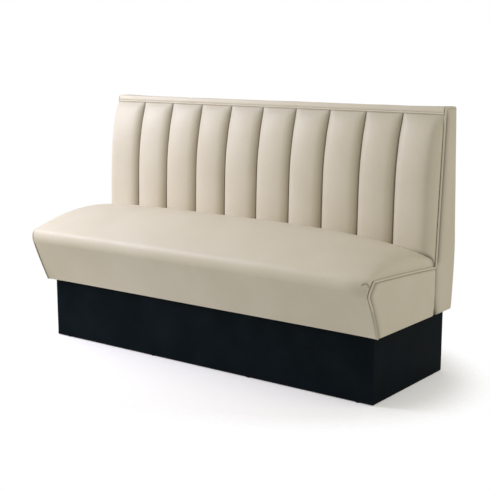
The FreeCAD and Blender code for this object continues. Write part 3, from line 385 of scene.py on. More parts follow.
def leatherette(name, roughness):
    """Smooth vinyl leatherette: a fine pebbled grain, a soft semi-gloss, and a faint mottle."""
    finish, tree, shader, place = new_finish(name, {
        "Roughness": roughness, "IOR": 1.5, "Specular IOR Level": .4, "Coat Weight": .03,
        "Coat Roughness": .3,
    })
    # The embossed pebbles are about 0.9 mm; they are drawn at 2.4 mm so that they show.
    pebbles = add(tree, "TexVoronoi", {
        "feature": "SMOOTH_F1", "Scale": 1 / .0024, "Smoothness": .6,
    }, {"Vector": place}).outputs["Distance"]
    pull = cloudy(tree, place, .045, 3)
    mottle = cloudy(tree, place, .18, 3, .55)
    shade = add(tree, "Mix", {"data_type": "RGBA", 7: linear(LEATHER_CREASE)}, {
        0: ranged(tree, pebbles, 0, .25, .45, .8),
        6: ramp(tree, (.3, LEATHER_MID), (.7, LEATHER_LIGHT), mottle),
    })
    bump = add(tree, "Bump", {"Strength": .1, "Distance": .0004},
               {"Height": pebbles, "Normal": relief(tree, .16, .003, pull)})
    # Painted shade: the point attribute mixes the vinyl towards a dark tone in the folds beside the
    # seams and between the channels, where shade falls.
    painted_shade = add(tree, "Attribute", {"attribute_name": "painted_shade"})
    painted_fold_shade = add(tree, "Mix", {"data_type": "RGBA", 7: linear(PAINTED_SHADE_TONE)},
               {0: painted_shade.outputs["Fac"], 6: shade.outputs[2]})
    join(tree, shader, {
        "Base Color": painted_fold_shade.outputs[2], "Normal": bump.outputs["Normal"],
        "Roughness": ranged(tree, pull, roughness - .05, roughness + .06, .3, .7),
    })
    return finish


cream = leatherette("cream_leatherette", .52)


def rising(at, start, run):
    """A share that rises evenly from 0 at the start to 1 at the run's end."""
    return min(1, max(0, (at - start) / run))


def bell(gap, reach, height=1):
    """A value that is highest at no gap and falls off smoothly over a reach."""
    return height * math.exp(-(gap / reach) ** 2)


def end_view(y, z):
    return Vector((0, y, z))


def lengths_along(path):
    """How far along a path each of its points lies."""
    lengths = [0]
    for behind, ahead in zip(path, path[1:]):
        lengths.append(lengths[-1] + (ahead - behind).length)
    return lengths


def headings(path):
    """Which way a path runs at each of its points."""
    return [(ahead - behind).normalized()
            for behind, ahead in zip(path[:1] + path[:-1], path[1:] + path[-1:])]


def fullness(share, powers):
    """How full the seat is at a share of the way from its middle to an end."""
    return max(0, 1 - abs(share) ** powers[0]) ** (1 / powers[1])


def turned_in(way):
    """The inward side of a way that runs up the seat's front and back over its top."""
    return end_view(way.z, -way.y)


def mirrored(way, axis):
    """A way turned over about an axis."""
    return axis * (2 * way.dot(axis)) - way


def arc_middle(start, heading, end):
    """The middle of the arc that leaves start along heading and ends at end."""
    chord = end - start
    turn = heading.angle(chord)
    side = (heading - chord * (heading.dot(chord) / chord.dot(chord))).normalized()
    return start + chord / 2 + side * (chord.length / 2 * math.tan(turn / 2))


def arc(start, middle, end, shares):
    """Points at shares of the way along the arc through three points."""
    chord = (end - start) / 2
    rise = middle - (start + end) / 2
    if rise.length < .01:
        return [start.lerp(end, share) for share in shares]
    radius = (chord.length_squared + rise.length_squared) / (2 * rise.length)
    up = rise.normalized()
    along = chord.normalized()
    half = math.atan2(chord.length, radius - rise.length)
    centre = middle - up * radius
    turns = [half * (2 * share - 1) for share in shares]
    return [centre + (along * math.sin(turn) + up * math.cos(turn)) * radius for turn in turns]


def bent(controls, part):
    """A point at a share of the way along a curve drawn by four control points."""
    start, leave, arrive, end = controls
    rest = 1 - part
    return (start * rest ** 3 + leave * 3 * part * rest ** 2
            + arrive * 3 * part ** 2 * rest + end * part ** 3)


FRONT_POINTS = 14
ROLL_POINTS = 24
CROWN_POINTS = 56
CROWN_CROWDING = 1.5


def seat_profile(share, inset):
    """The cushion's outside from its lower front edge, over the rolled front, to its rear edge.
    Hand stuffing left the left end fuller and squarer than the right one."""
    end_shape, powers = (LEFT_END, LEFT_FULLNESS) if share < 0 else (RIGHT_END, RIGHT_FULLNESS)
    front, top, back = (fullness(share, pair) for pair in powers)
    if share > 0:
        back += REAR_CORNER * (fullness(share, REAR_CORNER_POWERS) - back)

    def blend(name, full):
        return end_shape[name] + (SEAT_MIDDLE[name] - end_shape[name]) * full

    bottom = end_view(BENCH_FRONT + blend("bottom_setback", front), SEAT_LOW)
    base = end_view(BENCH_FRONT + blend("base_setback", front),
                    SEAT_BASE + blend("base_rise", front))
    edge = end_view(BENCH_FRONT + blend("edge_setback", front), SEAT_BASE + blend("edge_rise", top))
    rear = end_view(SEAT_REAR, SEAT_BASE + blend("rear_rise", back))
    heading = (base - bottom).normalized()
    pull = turned_in(heading) * (4 * blend("hollow", front))
    across = rear - edge
    bow = blend("bow", top)
    crown = (edge + rear) / 2 - turned_in(across.normalized()) * bow
    leaving = math.atan2(across.y, across.z) - 2 * math.atan2(2 * bow, across.length)
    leaving -= (LEFT_CORNER if share < 0 else RIGHT_CORNER) * (1 - top) ** 2
    reach = (edge - base).length * ROLL_HANDLE
    heading = (heading - pull / (base - bottom).length).normalized()
    roll = (base, base + heading * reach,
            edge - end_view(math.sin(leaving), math.cos(leaving)) * reach, edge)
    profile = [bottom.lerp(base, part) + pull * (part * (1 - part))
               for part in steps(0, 1, FRONT_POINTS)][:-1]
    profile += [bent(roll, part) for part in steps(0, 1, ROLL_POINTS)][:-1]
    profile += arc(edge, crown, rear,
                   [part ** CROWN_CROWDING for part in steps(0, 1, CROWN_POINTS)])
    if inset:
        profile = [point + turned_in(way) * inset for point, way in zip(profile, headings(profile))]
    return profile


def crossing(path, axis, at):
    """The point where a path that rises along an axis reaches a value."""
    for behind, ahead in zip(path, path[1:]):
        if at <= ahead[axis] + 1e-6:
            return behind.lerp(ahead, (at - behind[axis]) / (ahead[axis] - behind[axis]))
    return path[-1]


def seat_top(x, y):
    """The height of the seat's crowned top over a point."""
    crown = seat_profile(max(-1, min(1, x / FRAME_END)), 0)[-CROWN_POINTS:]
    return crossing(crown, 1, y).z


def crowded_ends(count, power):
    """Shares from -1 to 1 that crowd together at both ends, where the shape changes fastest."""
    return [math.copysign(1 - (1 - abs(part)) ** power, part) for part in steps(-1, 1, count)]


# The tuck beside the right welt's front corner, in millimetres from the welt and along the profile
# from the top edge: the panel's leather is gathered in there and lies in a small arched fold, and
# the filling under it leaves a soft hollow.
TUCK_LINE = ((.5, -25), (3, -20), (7, -17.5), (12, -19), (18, -26))
TUCK_WIDTH = 3
TUCK_DEPTH = 4.5
# How dark the shade painted in the tuck's fold is.
TUCK_SHADE = .5
HOLLOW_PLACE = (21, -46)
HOLLOW_SPREAD = (32, 24)
HOLLOW_DEPTH = 3.5
# How dark the shade painted in the hollow is.
HOLLOW_SHADE = .17
# The end seams draw the cushion in, less along the top. Shade is painted into the fold beside them,
# darkest high on the front face, and into the crease behind the cushion, which grows darker towards
# the right end.
SEAM_REACH = 4.5
SEAM_DIP = 3
LOW_SEAM_SHADE = .2
HIGH_SEAM_SHADE = .7
HIGH_SEAM_RISE = (325, 20)
TOP_SEAM_DIP = 1.2
TOP_SEAM_SHADE = .12
CREASE_REACH = 14
CREASE_SHADE = .7
CREASE_RISE = (FRAME_END - 80, 60)
ROLL_END = FRONT_POINTS + ROLL_POINTS - 2


def tuck_share(x, along_profile):
    """How deep in the tuck a point of the cushion lies."""
    share = 0
    for behind, ahead in zip(TUCK_LINE, TUCK_LINE[1:]):
        span = Vector(ahead) - Vector(behind)
        reach = Vector((FRAME_END - x, along_profile)) - Vector(behind)
        part = rising(reach.dot(span), 0, span.length_squared)
        share = max(share, bell((reach - span * part).length, TUCK_WIDTH))
    return share


def rear_crease_shade(x):
    """How dark the shade painted in the crease behind the cushion is at a place along it."""
    return CREASE_SHADE * rising(x, *CREASE_RISE) ** 1.5


cushion_ends = {}
for side in (-1, 1):
    cushion_ends[side] = seat_profile(side, 0)
    for point in cushion_ends[side]:
        point.x = side * FRAME_END
cushion_rows = []
cushion_painted_shades = []
for share in crowded_ends(241, 2.4):
    x = share * FRAME_END
    outside = seat_profile(share, 0)
    lengths = lengths_along(outside)
    for spot, (point, way) in enumerate(zip(outside, headings(outside))):
        point.x = x
        end_point = cushion_ends[-1 if x < 0 else 1][spot]
        near_seam = max(0, 1 - (point - end_point).length / SEAM_REACH)
        along_profile = lengths[spot] - lengths[ROLL_END]
        tuck = tuck_share(x, along_profile)
        below = Vector((FRAME_END - x, along_profile)) - Vector(HOLLOW_PLACE)
        hollow = bell(below.x, HOLLOW_SPREAD[0]) * bell(below.y, HOLLOW_SPREAD[1])
        if spot <= ROLL_END:
            dip = SEAM_DIP
            dark = LOW_SEAM_SHADE + HIGH_SEAM_SHADE * rising(point.z, *HIGH_SEAM_RISE)
        else:
            dip, dark = TOP_SEAM_DIP, TOP_SEAM_SHADE
        outside[spot] = point + turned_in(way) * max(
            TUCK_DEPTH * tuck, dip * near_seam ** 2, HOLLOW_DEPTH * hollow)
        # Painted shade: in the crease behind the cushion, the tuck, the hollow and the folds beside
        # the end seams.
        crease = rear_crease_shade(x) * bell(SEAT_REAR - point.y, CREASE_REACH)
        cushion_painted_shades.append(
            max(TUCK_SHADE * tuck, HOLLOW_SHADE * hollow, dark * near_seam, crease))
    board_low = Vector((x, BOARD_FACE, SEAT_LOW + .6))
    board_high = Vector((x, BOARD_FACE - (DECK - SEAT_LOW) * BOARD_RAKE, DECK))
    inside = [Vector((x, SEAT_REAR, part)) for part in steps(outside[-1].z, DECK, 8)][1:]
    inside += [inside[-1].lerp(board_high, part) for part in steps(0, 1, 16)][1:]
    inside += [board_high.lerp(board_low, part) for part in steps(0, 1, 8)][1:]
    cushion_rows.append(outside + inside)
    cushion_painted_shades += [0] * len(inside)
seat_cushion = new_piece("seat_cushion", *skin_rows(cushion_rows, True), cream,
                         "cream leatherette", cushion_painted_shades)
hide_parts("seat_cover", "seat_foam", "seat_front_foam")


# Seat end covers: flat panels of leatherette over a thin sheet of foam, sewn to the welt round the
# front and the top, with their rear edge against the back's own end covers.
END_THICKNESS = 7
PANEL_CROWN = 1.8
CROWN_REACH = 60
PANEL_ROWS = 44
PANEL_COLUMNS = 40
BACK_KNEE = 400
BACK_TOP = 938
# A sewn edge pulls the panel in over a reach, the more the darker the shade painted in its fold is.
PULL_REACH = 4
PULL_LEAST = .2
PULL_ADDED = .7
PULL_BY_SHADE = 2.5
PANEL_WAVE = .25
WAVE_LENGTH = 70
# How dark the shade painted on the panel's turned-over rim is.
RIM_SHADE = .8


def patch(left, right, bottom, top):
    """Points inside four edges in the end view, rows from the bottom up."""
    rows = []
    for up, start, end in zip(steps(0, 1, len(left)), left, right):
        rows.append([start.lerp(end, over) + low.lerp(high, up)
                     - bottom[0].lerp(bottom[-1], over).lerp(top[0].lerp(top[-1], over), up)
                     for over, low, high in zip(steps(0, 1, len(bottom)), bottom, top)])
    return rows


def placed(path, reaches):
    """The points of a path at rising distances along it."""
    lengths = lengths_along(path)
    points = []
    spot = 0
    for reach in reaches:
        while spot < len(path) - 2 and lengths[spot + 1] < reach:
            spot += 1
        span = lengths[spot + 1] - lengths[spot]
        points.append(path[spot].lerp(path[spot + 1], min(1, (reach - lengths[spot]) / span)))
    return points


def along(path, count):
    """Points along a path, closer together near both of its ends."""
    length = lengths_along(path)[-1]
    return placed(path, [length * (1 - math.cos(part)) / 2 for part in steps(0, math.pi, count)])


def end_panel(name, side, left, right, top, sewn):
    """A padded end panel, pulled in at its sewn edges and turned over at the others. Each sewn edge
    comes with how far the shade painted in its fold reaches and how dark it is at some heights."""
    rows = patch(along(left, PANEL_ROWS), along(right, PANEL_ROWS),
                 along([left[0], right[0]], PANEL_COLUMNS), along(top, PANEL_COLUMNS))
    wide = len(rows[0])
    front = []
    painted_shades = []
    for line in rows:
        front.append([])
        for column, point in enumerate(line):
            edges = {"left": line[0], "right": line[-1],
                     "bottom": rows[0][column], "top": rows[-1][column]}
            pull = unshaded = swell = 1
            for edge, nearest in edges.items():
                gap = (point - nearest).length
                reach, shades = sewn.get(edge, (4, ((0, 0), (BACK_TOP, 0))))
                (low, dark), (up, dark_up) = next(
                    pair for pair in zip(shades, shades[1:]) if point.z <= pair[1][0] + MM)
                dark += (dark_up - dark) * (point.z - low) / (up - low)
                swell *= 1 - math.exp(-gap / CROWN_REACH)
                held = PULL_LEAST + PULL_ADDED * min(1, PULL_BY_SHADE * dark)
                pull *= 1 - held * math.exp(-(gap / PULL_REACH) ** 1.5)
                # Painted shade that falls off away from each sewn edge.
                unshaded *= 1 - dark * math.exp(-gap / reach)
            out = 1 + (END_THICKNESS - 1) * pull + PANEL_CROWN * swell
            out += PANEL_WAVE * pull * noise.noise(
                Vector((point.y / WAVE_LENGTH, point.z / WAVE_LENGTH, side)))
            front[-1].append(Vector((side * (FRAME_END + out), point.y, point.z)))
            painted_shades.append(1 - unshaded)
    points, faces = skin_rows(front, False)
    start = len(points)
    rim = [*range(wide), *range(2 * wide - 1, start, wide),
           *range(start - 2, start - wide - 1, -1), *range(start - 2 * wide, 0, -wide)]
    points += [Vector((side * FRAME_END, points[spot].y, points[spot].z)) for spot in rim]
    for spot, (here, beside) in enumerate(zip(rim, rim[1:] + rim[:1])):
        faces.append((start + spot, start + (spot + 1) % len(rim), beside, here))
    faces.append(tuple(range(len(points) - 1, start - 1, -1)))
    if side < 0:
        faces = [tuple(reversed(face)) for face in faces]
    return new_piece(name, points, faces, cream, "cream leatherette",
                     painted_shades + [RIM_SHADE] * len(rim))


# How far the shade painted beside each sewn edge of the seat's end panels reaches, and how dark it
# is at some heights.
SEAT_PANEL_SEWN = {
    "left": (9, ((0, .5), (330, .55), (375, .8), (BACK_TOP, .8))),
    "top": (2.5, ((0, .45), (BACK_TOP, .45))),
    "right": (2, ((0, .95), (SEAT_LOW, .95), (260, .5), (300, .15), (BACK_TOP, .15))),
}
NOTCH = 6
PANEL_GAP = .5
ENDS = (("left", -1), ("right", 1))

for name, side in ENDS:
    outline = seat_profile(side, END_THICKNESS)
    panel_front, panel_top = outline[:ROLL_END + 1], outline[ROLL_END:]
    panel_top[-1].y = SEAT_REAR - PANEL_GAP
    panel_rear = [end_view(SEAT_REAR - PANEL_GAP - NOTCH, SEAT_LOW),
                  end_view(SEAT_REAR - PANEL_GAP, SEAT_LOW + 5 * NOTCH), panel_top[-1]]
    panel = end_panel(f"seat_{name}_end_panel", side, panel_front, panel_rear, panel_top,
                      SEAT_PANEL_SEWN)
    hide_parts(f"seat_{name}_end_cover")


# Seat welts: a strip of the same leatherette folded round a 6 mm cord and sewn in between the
# cushion's panel and each end panel, up the front, over the rolled edge and back along the top.
WELT_RADIUS = 3.5
WELT_X = FRAME_END + WELT_RADIUS
WELT_SIDES = 16
# How dark the shade painted on each seat welt is low on the front face, and the height where that
# ends.
WELT_SHADES = {-1: (.55, 390), 1: (.22, 335)}
WELT_SHADE_RUN = 10

welt_vinyl = leatherette("cream_welt_leatherette", .5)


def smoothed(path, spacing, passes):
    """A path at even spacing with its corners eased."""
    count = math.ceil(lengths_along(path)[-1] / spacing)
    points = placed(path, [spacing * step for step in range(count)]) + [path[-1]]
    for _ in range(passes):
        points[1:-1] = [(behind + here * 2 + ahead) / 4
                        for behind, here, ahead in zip(points, points[1:], points[2:])]
    return points


def welt(name, path, across, painted_shades=()):
    """A covered cord along a path in one plane; across is the direction square to that plane."""
    rows = []
    for point, way in zip(path, headings(path)):
        out = way.cross(across).normalized()
        radius = WELT_RADIUS * (.985 + .03 * noise.noise(point / 14))
        rows.append([point + (across * math.cos(turn) + out * math.sin(turn)) * radius
                     for turn in steps(0, 2 * math.pi, WELT_SIDES + 1)[:-1]])
    return new_piece(name, *skin_rows(rows, True), welt_vinyl, "cream welt", painted_shades)


for name, side in ENDS:
    line = [Vector((side * WELT_X, point.y, point.z)) for point in seat_profile(side, WELT_RADIUS)]
    path = smoothed(line, 3, 4)
    shade, shade_top = WELT_SHADES[side]
    cord = welt(f"seat_{name}_welt_cord", path, Vector((1, 0, 0)),
                [shade * rising(shade_top - point.z, 0, WELT_SHADE_RUN)
                 for point in path for _ in range(WELT_SIDES)])
    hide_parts(f"seat_{name}_welt")


# Back frame: profiled uprights, a lower board that bolts to the seat, and thin face and rear boards
# of birch plywood, with planed pine rails between the uprights.
dress(birch_along_y, "back_left_upright", "back_right_upright", "back_middle_uprights")
dress(birch_along_x, "back_lower_board", "back_face_board", "back_rear_board")
dress(pine_along_x, "back_bottom_rail", "back_middle_rail", "back_top_rail")


# Bolts, washers and nuts that draw the seat's rear rail and the back's lower board together: steel
# with bright zinc plate.
dress(zinc_plate, "joining_bolts", "joining_washers", "joining_nuts")


# Back channels: ten upright tubes of foam and fibre, sewn side by side between one sheet of the
# leatherette and its backing. They swell most at the small of the sitter's back and are drawn flat
# into the seam at the top, and the two outer tubes flare out to the end welts.
BACK_LEAN = 35
CHANNEL_SEAM = 912.5
CHANNELS = 10
CHANNEL_PITCH = FRAME_END * 2 / CHANNELS
CHANNEL_BULGE = 22.5
CHANNEL_DEPTH = .182
CHANNEL_HEIGHTS = (0, .2, .39, .57, .67, .79, .87, .93, .965, .985, 1)
BULGE_SHARES = (.55, .73, .91, 1, .91, .62, .36, .14, .04, .01, 0)
RISE_SHARES = (1, 1, 1, 1, 1, .98, .9, .75, .55, .32, .1)
END_TUCK = 4
END_TUCK_REACH = 7
END_SWELL_RUN = 40
# How far each end channel swells out, how square its corner is and how deep a soft hollow its
# filling leaves beside the end seam.
LEFT_FLANK = (-8, 4.2, 0)
RIGHT_FLANK = (1, 2.35, 4.5)
HOLLOW_FROM_END = 9
HOLLOW_REACH = 13
# Where the painted shade of the last channel's hollow lies, from the end.
HOLLOW_SHADE_FROM_END = 26
FACE_PADDING = 7.7
GROOVE_SLIT = 6
GROOVE_DRIFTS = (-7, -4, -1, -6, -3.5, -3.5, -6.5, -4.5, -9.5)
DRIFT_RUN_OUT = 80
SHOULDER_WIDTH = .56
SHOULDER_DROP = .15
FLANK_STEPS = (0, .035, .085, .15, .23, .33, .45, .58, .72, .86, 1)
CREST_STEPS = 15
END_STEPS = 26


def back_front(z, inset):
    """Where the raked front of the back's frame stands at a height."""
    return SEAT_REAR + BACK_LEAN * (z - BACK_KNEE) / (BACK_TOP - BACK_KNEE) + inset


def eased(places, values, at):
    """A smooth curve through values at uneven places."""
    spot = max(index for index, place in enumerate(places[:-1]) if place <= max(at, 0))
    slopes = []
    for index in (spot, spot + 1):
        before, after = max(index - 1, 0), min(index + 1, len(places) - 1)
        slopes.append((values[after] - values[before]) / (places[after] - places[before]))
    span = places[spot + 1] - places[spot]
    part = (at - places[spot]) / span
    return ((2 * part ** 3 - 3 * part ** 2 + 1) * values[spot]
            + (part ** 3 - 2 * part ** 2 + part) * span * slopes[0]
            + (3 * part ** 2 - 2 * part ** 3) * values[spot + 1]
            + (part ** 3 - part ** 2) * span * slopes[1])


def end_flank(crest, tip, swell, square, hollow):
    """The outer side of an end channel, from its crest over its padded corner into the end seam."""
    swollen = min(1, (tip.y - crest.y) / END_SWELL_RUN)
    reach = tip.x + swell * swollen
    flank = []
    for turn in steps(0, math.pi / 2, END_STEPS):
        across, inward = math.sin(turn), max(0, math.cos(turn))
        point = Vector((crest.x + (reach - crest.x) * across ** (2 / square),
                        tip.y + (crest.y - tip.y) * inward ** (2 / square), crest.z))
        point.y += hollow * swollen * bell(abs(tip.x - point.x) - HOLLOW_FROM_END, HOLLOW_REACH)
        point.x += (tip.x - reach) * bell(point.y - tip.y, END_TUCK_REACH)
        flank.append(point)
    return flank


def groove_x(index, z):
    """Where a seam between two channels runs; hand sewing lets the seams drift a little."""
    even = -FRAME_END + index * CHANNEL_PITCH
    if index in (0, CHANNELS):
        return even
    return even + GROOVE_DRIFTS[index - 1] * (.5 + .5 * min(1, (CHANNEL_SEAM - z) / DRIFT_RUN_OUT))


def channel_line(z):
    """The back's front surface at one height, from the left end to the right end."""
    share = (z - BACK_KNEE) / (CHANNEL_SEAM - BACK_KNEE)
    edge = back_front(z, 0)
    groove = edge - CHANNEL_BULGE * eased(CHANNEL_HEIGHTS, BULGE_SHARES, share)
    rise = CHANNEL_PITCH * CHANNEL_DEPTH * eased(CHANNEL_HEIGHTS, RISE_SHARES, share)
    line = []
    for index in range(CHANNELS):
        middle = (groove_x(index, z) + groove_x(index + 1, z)) / 2
        half = groove_x(index + 1, z) - middle
        full = rise * (1 + .035 * noise.noise(Vector((index * 3.7, z / 160, 4.2))))
        crest = Vector((middle, groove - full, z))
        flanks = []
        for side in (-1, 1):
            foot = Vector((middle + side * half, groove, z))
            shoulder = Vector((middle + side * half * SHOULDER_WIDTH,
                               crest.y + full * SHOULDER_DROP, z))
            heading = mirrored(Vector((side, 0, 0)), (shoulder - crest).normalized())
            flanks.append(arc(foot, arc_middle(shoulder, heading, foot), shoulder, FLANK_STEPS))
        left, right = flanks
        top = arc(left.pop(), crest, right.pop(), steps(0, 1, CREST_STEPS))
        left += top[:CREST_STEPS // 2]
        right = top[CREST_STEPS // 2 + 1:] + right[::-1]
        tip_y = edge + END_TUCK
        if index == 0:
            tip = Vector((-FRAME_END, tip_y, z))
            left = end_flank(crest, tip, *LEFT_FLANK)[:0:-1]
        if index == CHANNELS - 1:
            tip = Vector((FRAME_END, tip_y, z))
            right = end_flank(crest, tip, *RIGHT_FLANK)[1:]
        if index:
            line[-1].y += GROOVE_SLIT * min(1, rise / 20)
            left = left[1:]
        line += left + [crest] + right
    return line


# How far the painted shade of the channels' folds reaches and how dark it is: in a groove, on the
# flank to its left, which turns away from the light, in the last channel's hollow, under the top
# seam and in a wider band below it.
GROOVE_SHADE = (3.1, .66)
FLANK_SHADE = (11, .36)
HOLLOW_DARK = (HOLLOW_REACH, .1)
TOP_SHADE = (3, .28)
WIDE_TOP_SHADE = (35, .12)
# Painted shade at the end seams and in the crease at the channels' foot.
END_SHADE_REACH = 10
END_SHADE = 1.6
CREASE_HEIGHT = 9


def fold_shade_shares(line):
    """How much painted shade each point of a line across the channels gets from how deep in a fold
    it lies.
    """
    shares = []
    for point in line:
        gaps = [groove_x(index, point.z) - point.x for index in range(1, CHANNELS)]
        gap = min(abs(reach) for reach in gaps)
        flank = min([reach for reach in gaps if reach >= 0] + [CHANNEL_PITCH])
        tip = line[0] if point.x < 0 else line[-1]
        end = max(0, 1 - (point - tip).length / END_SHADE_REACH)
        hollow = bell(FRAME_END - HOLLOW_SHADE_FROM_END - point.x, *HOLLOW_DARK)
        shares.append(max(bell(gap, *GROOVE_SHADE), bell(flank, *FLANK_SHADE),
                          min(1, END_SHADE * end), hollow))
    return shares


CHANNEL_ROWS = 90
SEAT_GAP = .5


def over_seat(point):
    """How far a point lies over the height where the channels meet the seat."""
    return point.z - seat_top(point.x, point.y) - SEAT_GAP


def channel_grid():
    """Columns of the channels' front, each from the seat's surface up to the top seam."""
    table = [channel_line(z) for z in steps(BACK_KNEE, CHANNEL_SEAM, 128)]
    columns = []
    for spot in range(len(table[0])):
        column = [line[spot] for line in table]
        foot = next((index for index, above in enumerate(column[1:]) if over_seat(above) > 0), 0)
        gap_here, gap_above = over_seat(column[foot]), over_seat(column[foot + 1])
        start = column[foot]
        if gap_here < 0:
            start = start.lerp(column[foot + 1], -gap_here / (gap_above - gap_here))
        path = [start] + column[foot + 1:]
        columns.append([crossing(path, 2, z) for z in steps(path[0].z, path[-1].z, CHANNEL_ROWS)])
    return columns


channel_rows = []
channel_painted_shades = []
across_painted_shades = fold_shade_shares(channel_line(BACK_KNEE + 200))
for column in channel_grid():
    x, front, low = column[0]
    rear_low = max(seat_top(x, SEAT_REAR) + SEAT_GAP, BACK_KNEE)
    foot = [Vector((x, y, max(seat_top(x, min(y, SEAT_REAR)) + SEAT_GAP, low if y < front else 0)))
            for y in steps(front, SEAT_REAR + .3, 7)[1:]]
    backs = [Vector((x, back_front(z, FACE_PADDING), z)) for z in steps(rear_low, CHANNEL_SEAM, 40)]
    share = across_painted_shades[len(channel_rows)]
    # Painted shade: the folds across the channels, a band under the top seam and the crease at the
    # foot towards the right end.
    channel_painted_shades += [max(share, bell(CHANNEL_SEAM - point.z, *TOP_SHADE),
                          bell(CHANNEL_SEAM - point.z, *WIDE_TOP_SHADE),
                          bell(point.z - low, CREASE_HEIGHT, rear_crease_shade(x))) for point in column]
    channel_painted_shades += [0] * (len(backs) + len(foot))
    channel_rows.append(column + backs[::-1] + foot[::-1])
back_channels = new_piece("back_channels", *skin_rows(channel_rows, True), cream,
                          "cream leatherette", channel_painted_shades)
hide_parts("back_channel_cover", "back_base_foam",
            *[f"channel_foam_{number:02d}" for number in range(1, CHANNELS + 1)])


# Top welt: the covered cord sewn between the channels' top seam and the plain border strip.
TOP_WELT_SUNK = 2.5

top_welt_y = back_front(CHANNEL_SEAM, 0) + WELT_RADIUS - TOP_WELT_SUNK
top_path = [Vector((x, top_welt_y, CHANNEL_SEAM + WELT_RADIUS))
            for x in steps(-FRAME_END, FRAME_END, 300)]
top_welt = welt("back_top_welt_cord", top_path, Vector((0, 0, 1)))
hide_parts("back_top_welt")


# Border strip: a plain band of leatherette over a soft pad, from the top welt up over the top edge
# of the back and down to the rear board, where it is stapled.
BORDER_LOW = 919.5
BOARD_TOP = 924.5
FRONT_ROUND = 6
REAR_ROUND = 12
REAR_KNEE = 500
REAR_KNEE_Y = 304.5
REAR_TOP_Y = 281.5
TOP_SAG = 6
BORDER_WAVE = .7
# The strip's puff over the top welt: its middle's height, its reach and how far it stands out.
PUFF_MIDDLE = BORDER_LOW + 5
BORDER_PUFF = (6, 1.8)
# How deep each end of the strip is drawn in at its seam, and how dark the shade painted in its fold
# is.
LEFT_BORDER_END = (2.5, .75)
RIGHT_BORDER_END = (1.2, .3)
# Shade is painted on the strip beside the welt and behind the top's middle, more towards the right
# end.
LOW_BORDER_SHADE = .15
REAR_BORDER_SHADE = (.45, .25)
REAR_SHADE_RISE = (.52, .12)


def back_rear(z, inset):
    """Where the upper rear of the back stands at a height."""
    share = (z - REAR_KNEE) / (BACK_TOP - REAR_KNEE)
    return REAR_KNEE_Y + (REAR_TOP_Y - REAR_KNEE_Y) * share - inset


def rounded(before, corner, after, radius, count):
    """Points of the arc that rounds one corner."""
    back, ahead = (before - corner).normalized(), (after - corner).normalized()
    reach = radius * math.tan((math.pi - back.angle(ahead)) / 2)
    start, end = corner + back * reach, corner + ahead * reach
    return arc(start, arc_middle(start, back * -1, end), end, steps(0, 1, count))


border_start = end_view(back_front(BORDER_LOW, 0), BORDER_LOW)
border_front = end_view(back_front(BACK_TOP, 0), BACK_TOP)
border_back = end_view(back_rear(BACK_TOP, 0), BACK_TOP)
border_end = end_view(back_rear(BOARD_TOP, 0), BOARD_TOP)
band = [border_start.lerp(border_front, part) for part in steps(0, .6, 10)]
band += rounded(border_start, border_front, border_back, FRONT_ROUND, 9)
top_line = [border_front.lerp(border_back, part) for part in steps(.12, .82, 14)]
band += top_line + rounded(border_front, border_back, border_end, REAR_ROUND, 12) + [border_end]
inner = [end_view(back_rear(BOARD_TOP, 8), BOARD_TOP),
         end_view(back_front(BOARD_TOP, 8), BOARD_TOP),
         end_view(back_front(BORDER_LOW, FACE_PADDING), BORDER_LOW)]
band_ways = headings(band)
border_rows = []
border_painted_shades = []
for share in crowded_ends(261, 1.8):
    x = share * FRAME_END
    near_end = max(0, 1 - (FRAME_END - abs(x)) / SEAM_REACH)
    end_dip, end_shade = LEFT_BORDER_END if x < 0 else RIGHT_BORDER_END
    row = []
    for spot, (point, way) in enumerate(zip(band, band_ways)):
        soft = math.sin(math.pi * spot / (len(band) - 1))
        raised = max(0, (point.z - BOARD_TOP) / (BACK_TOP - BOARD_TOP))
        rearward = max(0, (point.y - border_front.y) / (border_back.y - border_front.y))
        lift = soft * BORDER_WAVE * noise.noise(Vector((x / 90, spot / 9, 7)))
        lift -= TOP_SAG * (1 - abs(share) ** 5) * rearward ** 1.5
        held = Vector((x, point.y, point.z + lift * raised))
        puff = bell(point.z - PUFF_MIDDLE, *BORDER_PUFF) if rearward < .1 else 0
        row.append(held + turned_in(way) * (end_dip * near_end ** 2 - puff))
        rear_shade = REAR_BORDER_SHADE[0] + REAR_BORDER_SHADE[1] * share
        # Painted shade at the end seams, beside the welt and along the rear of the top.
        border_painted_shades.append(max(end_shade * near_end, LOW_BORDER_SHADE * math.exp(-spot),
                                rear_shade * rising(rearward, *REAR_SHADE_RISE)))
    border_rows.append(row + [Vector((x, point.y, point.z)) for point in inner])
    border_painted_shades += [0] * len(inner)
border = new_piece("back_border_strip", *skin_rows(border_rows, True), cream,
                   "cream leatherette", border_painted_shades)
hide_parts("back_border_cover", "back_top_pad")


# End welts of the back: covered cords up the front edge, over the top and down to the rear cover.
welt_top = BACK_TOP - WELT_RADIUS
for name, side in ENDS:
    line = [Vector((side * WELT_X, stands(z, WELT_RADIUS), z)) for stands, z in (
        (back_front, BACK_KNEE), (back_front, welt_top), (back_rear, welt_top),
        (back_rear, BOARD_TOP))]
    cord = welt(f"back_{name}_welt_cord", smoothed(line, 2.4, 12), Vector((1, 0, 0)))
    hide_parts(f"back_{name}_welt")


# End covers of the back: flat leatherette panels over thin foam, from the floor of the bench up to
# the welt, with a gentle belly towards the rear.
REAR_LOW = end_view(293, 230)
REAR_BELLY = end_view(306, 400)
COVER_INSET = 5
# How far the shade painted beside the sewn edges of the back's end panels reaches, and how dark it
# is at some heights.
BACK_PANEL_SEWN = {
    "left": (13, ((0, .95), (SEAT_LOW, .95), (260, .6), (300, .4), (BACK_KNEE, .4),
                  (BACK_KNEE + 5, .95), (900, .95), (BACK_TOP, .2))),
    "top": (3, ((0, .06), (BACK_TOP, .06))),
}

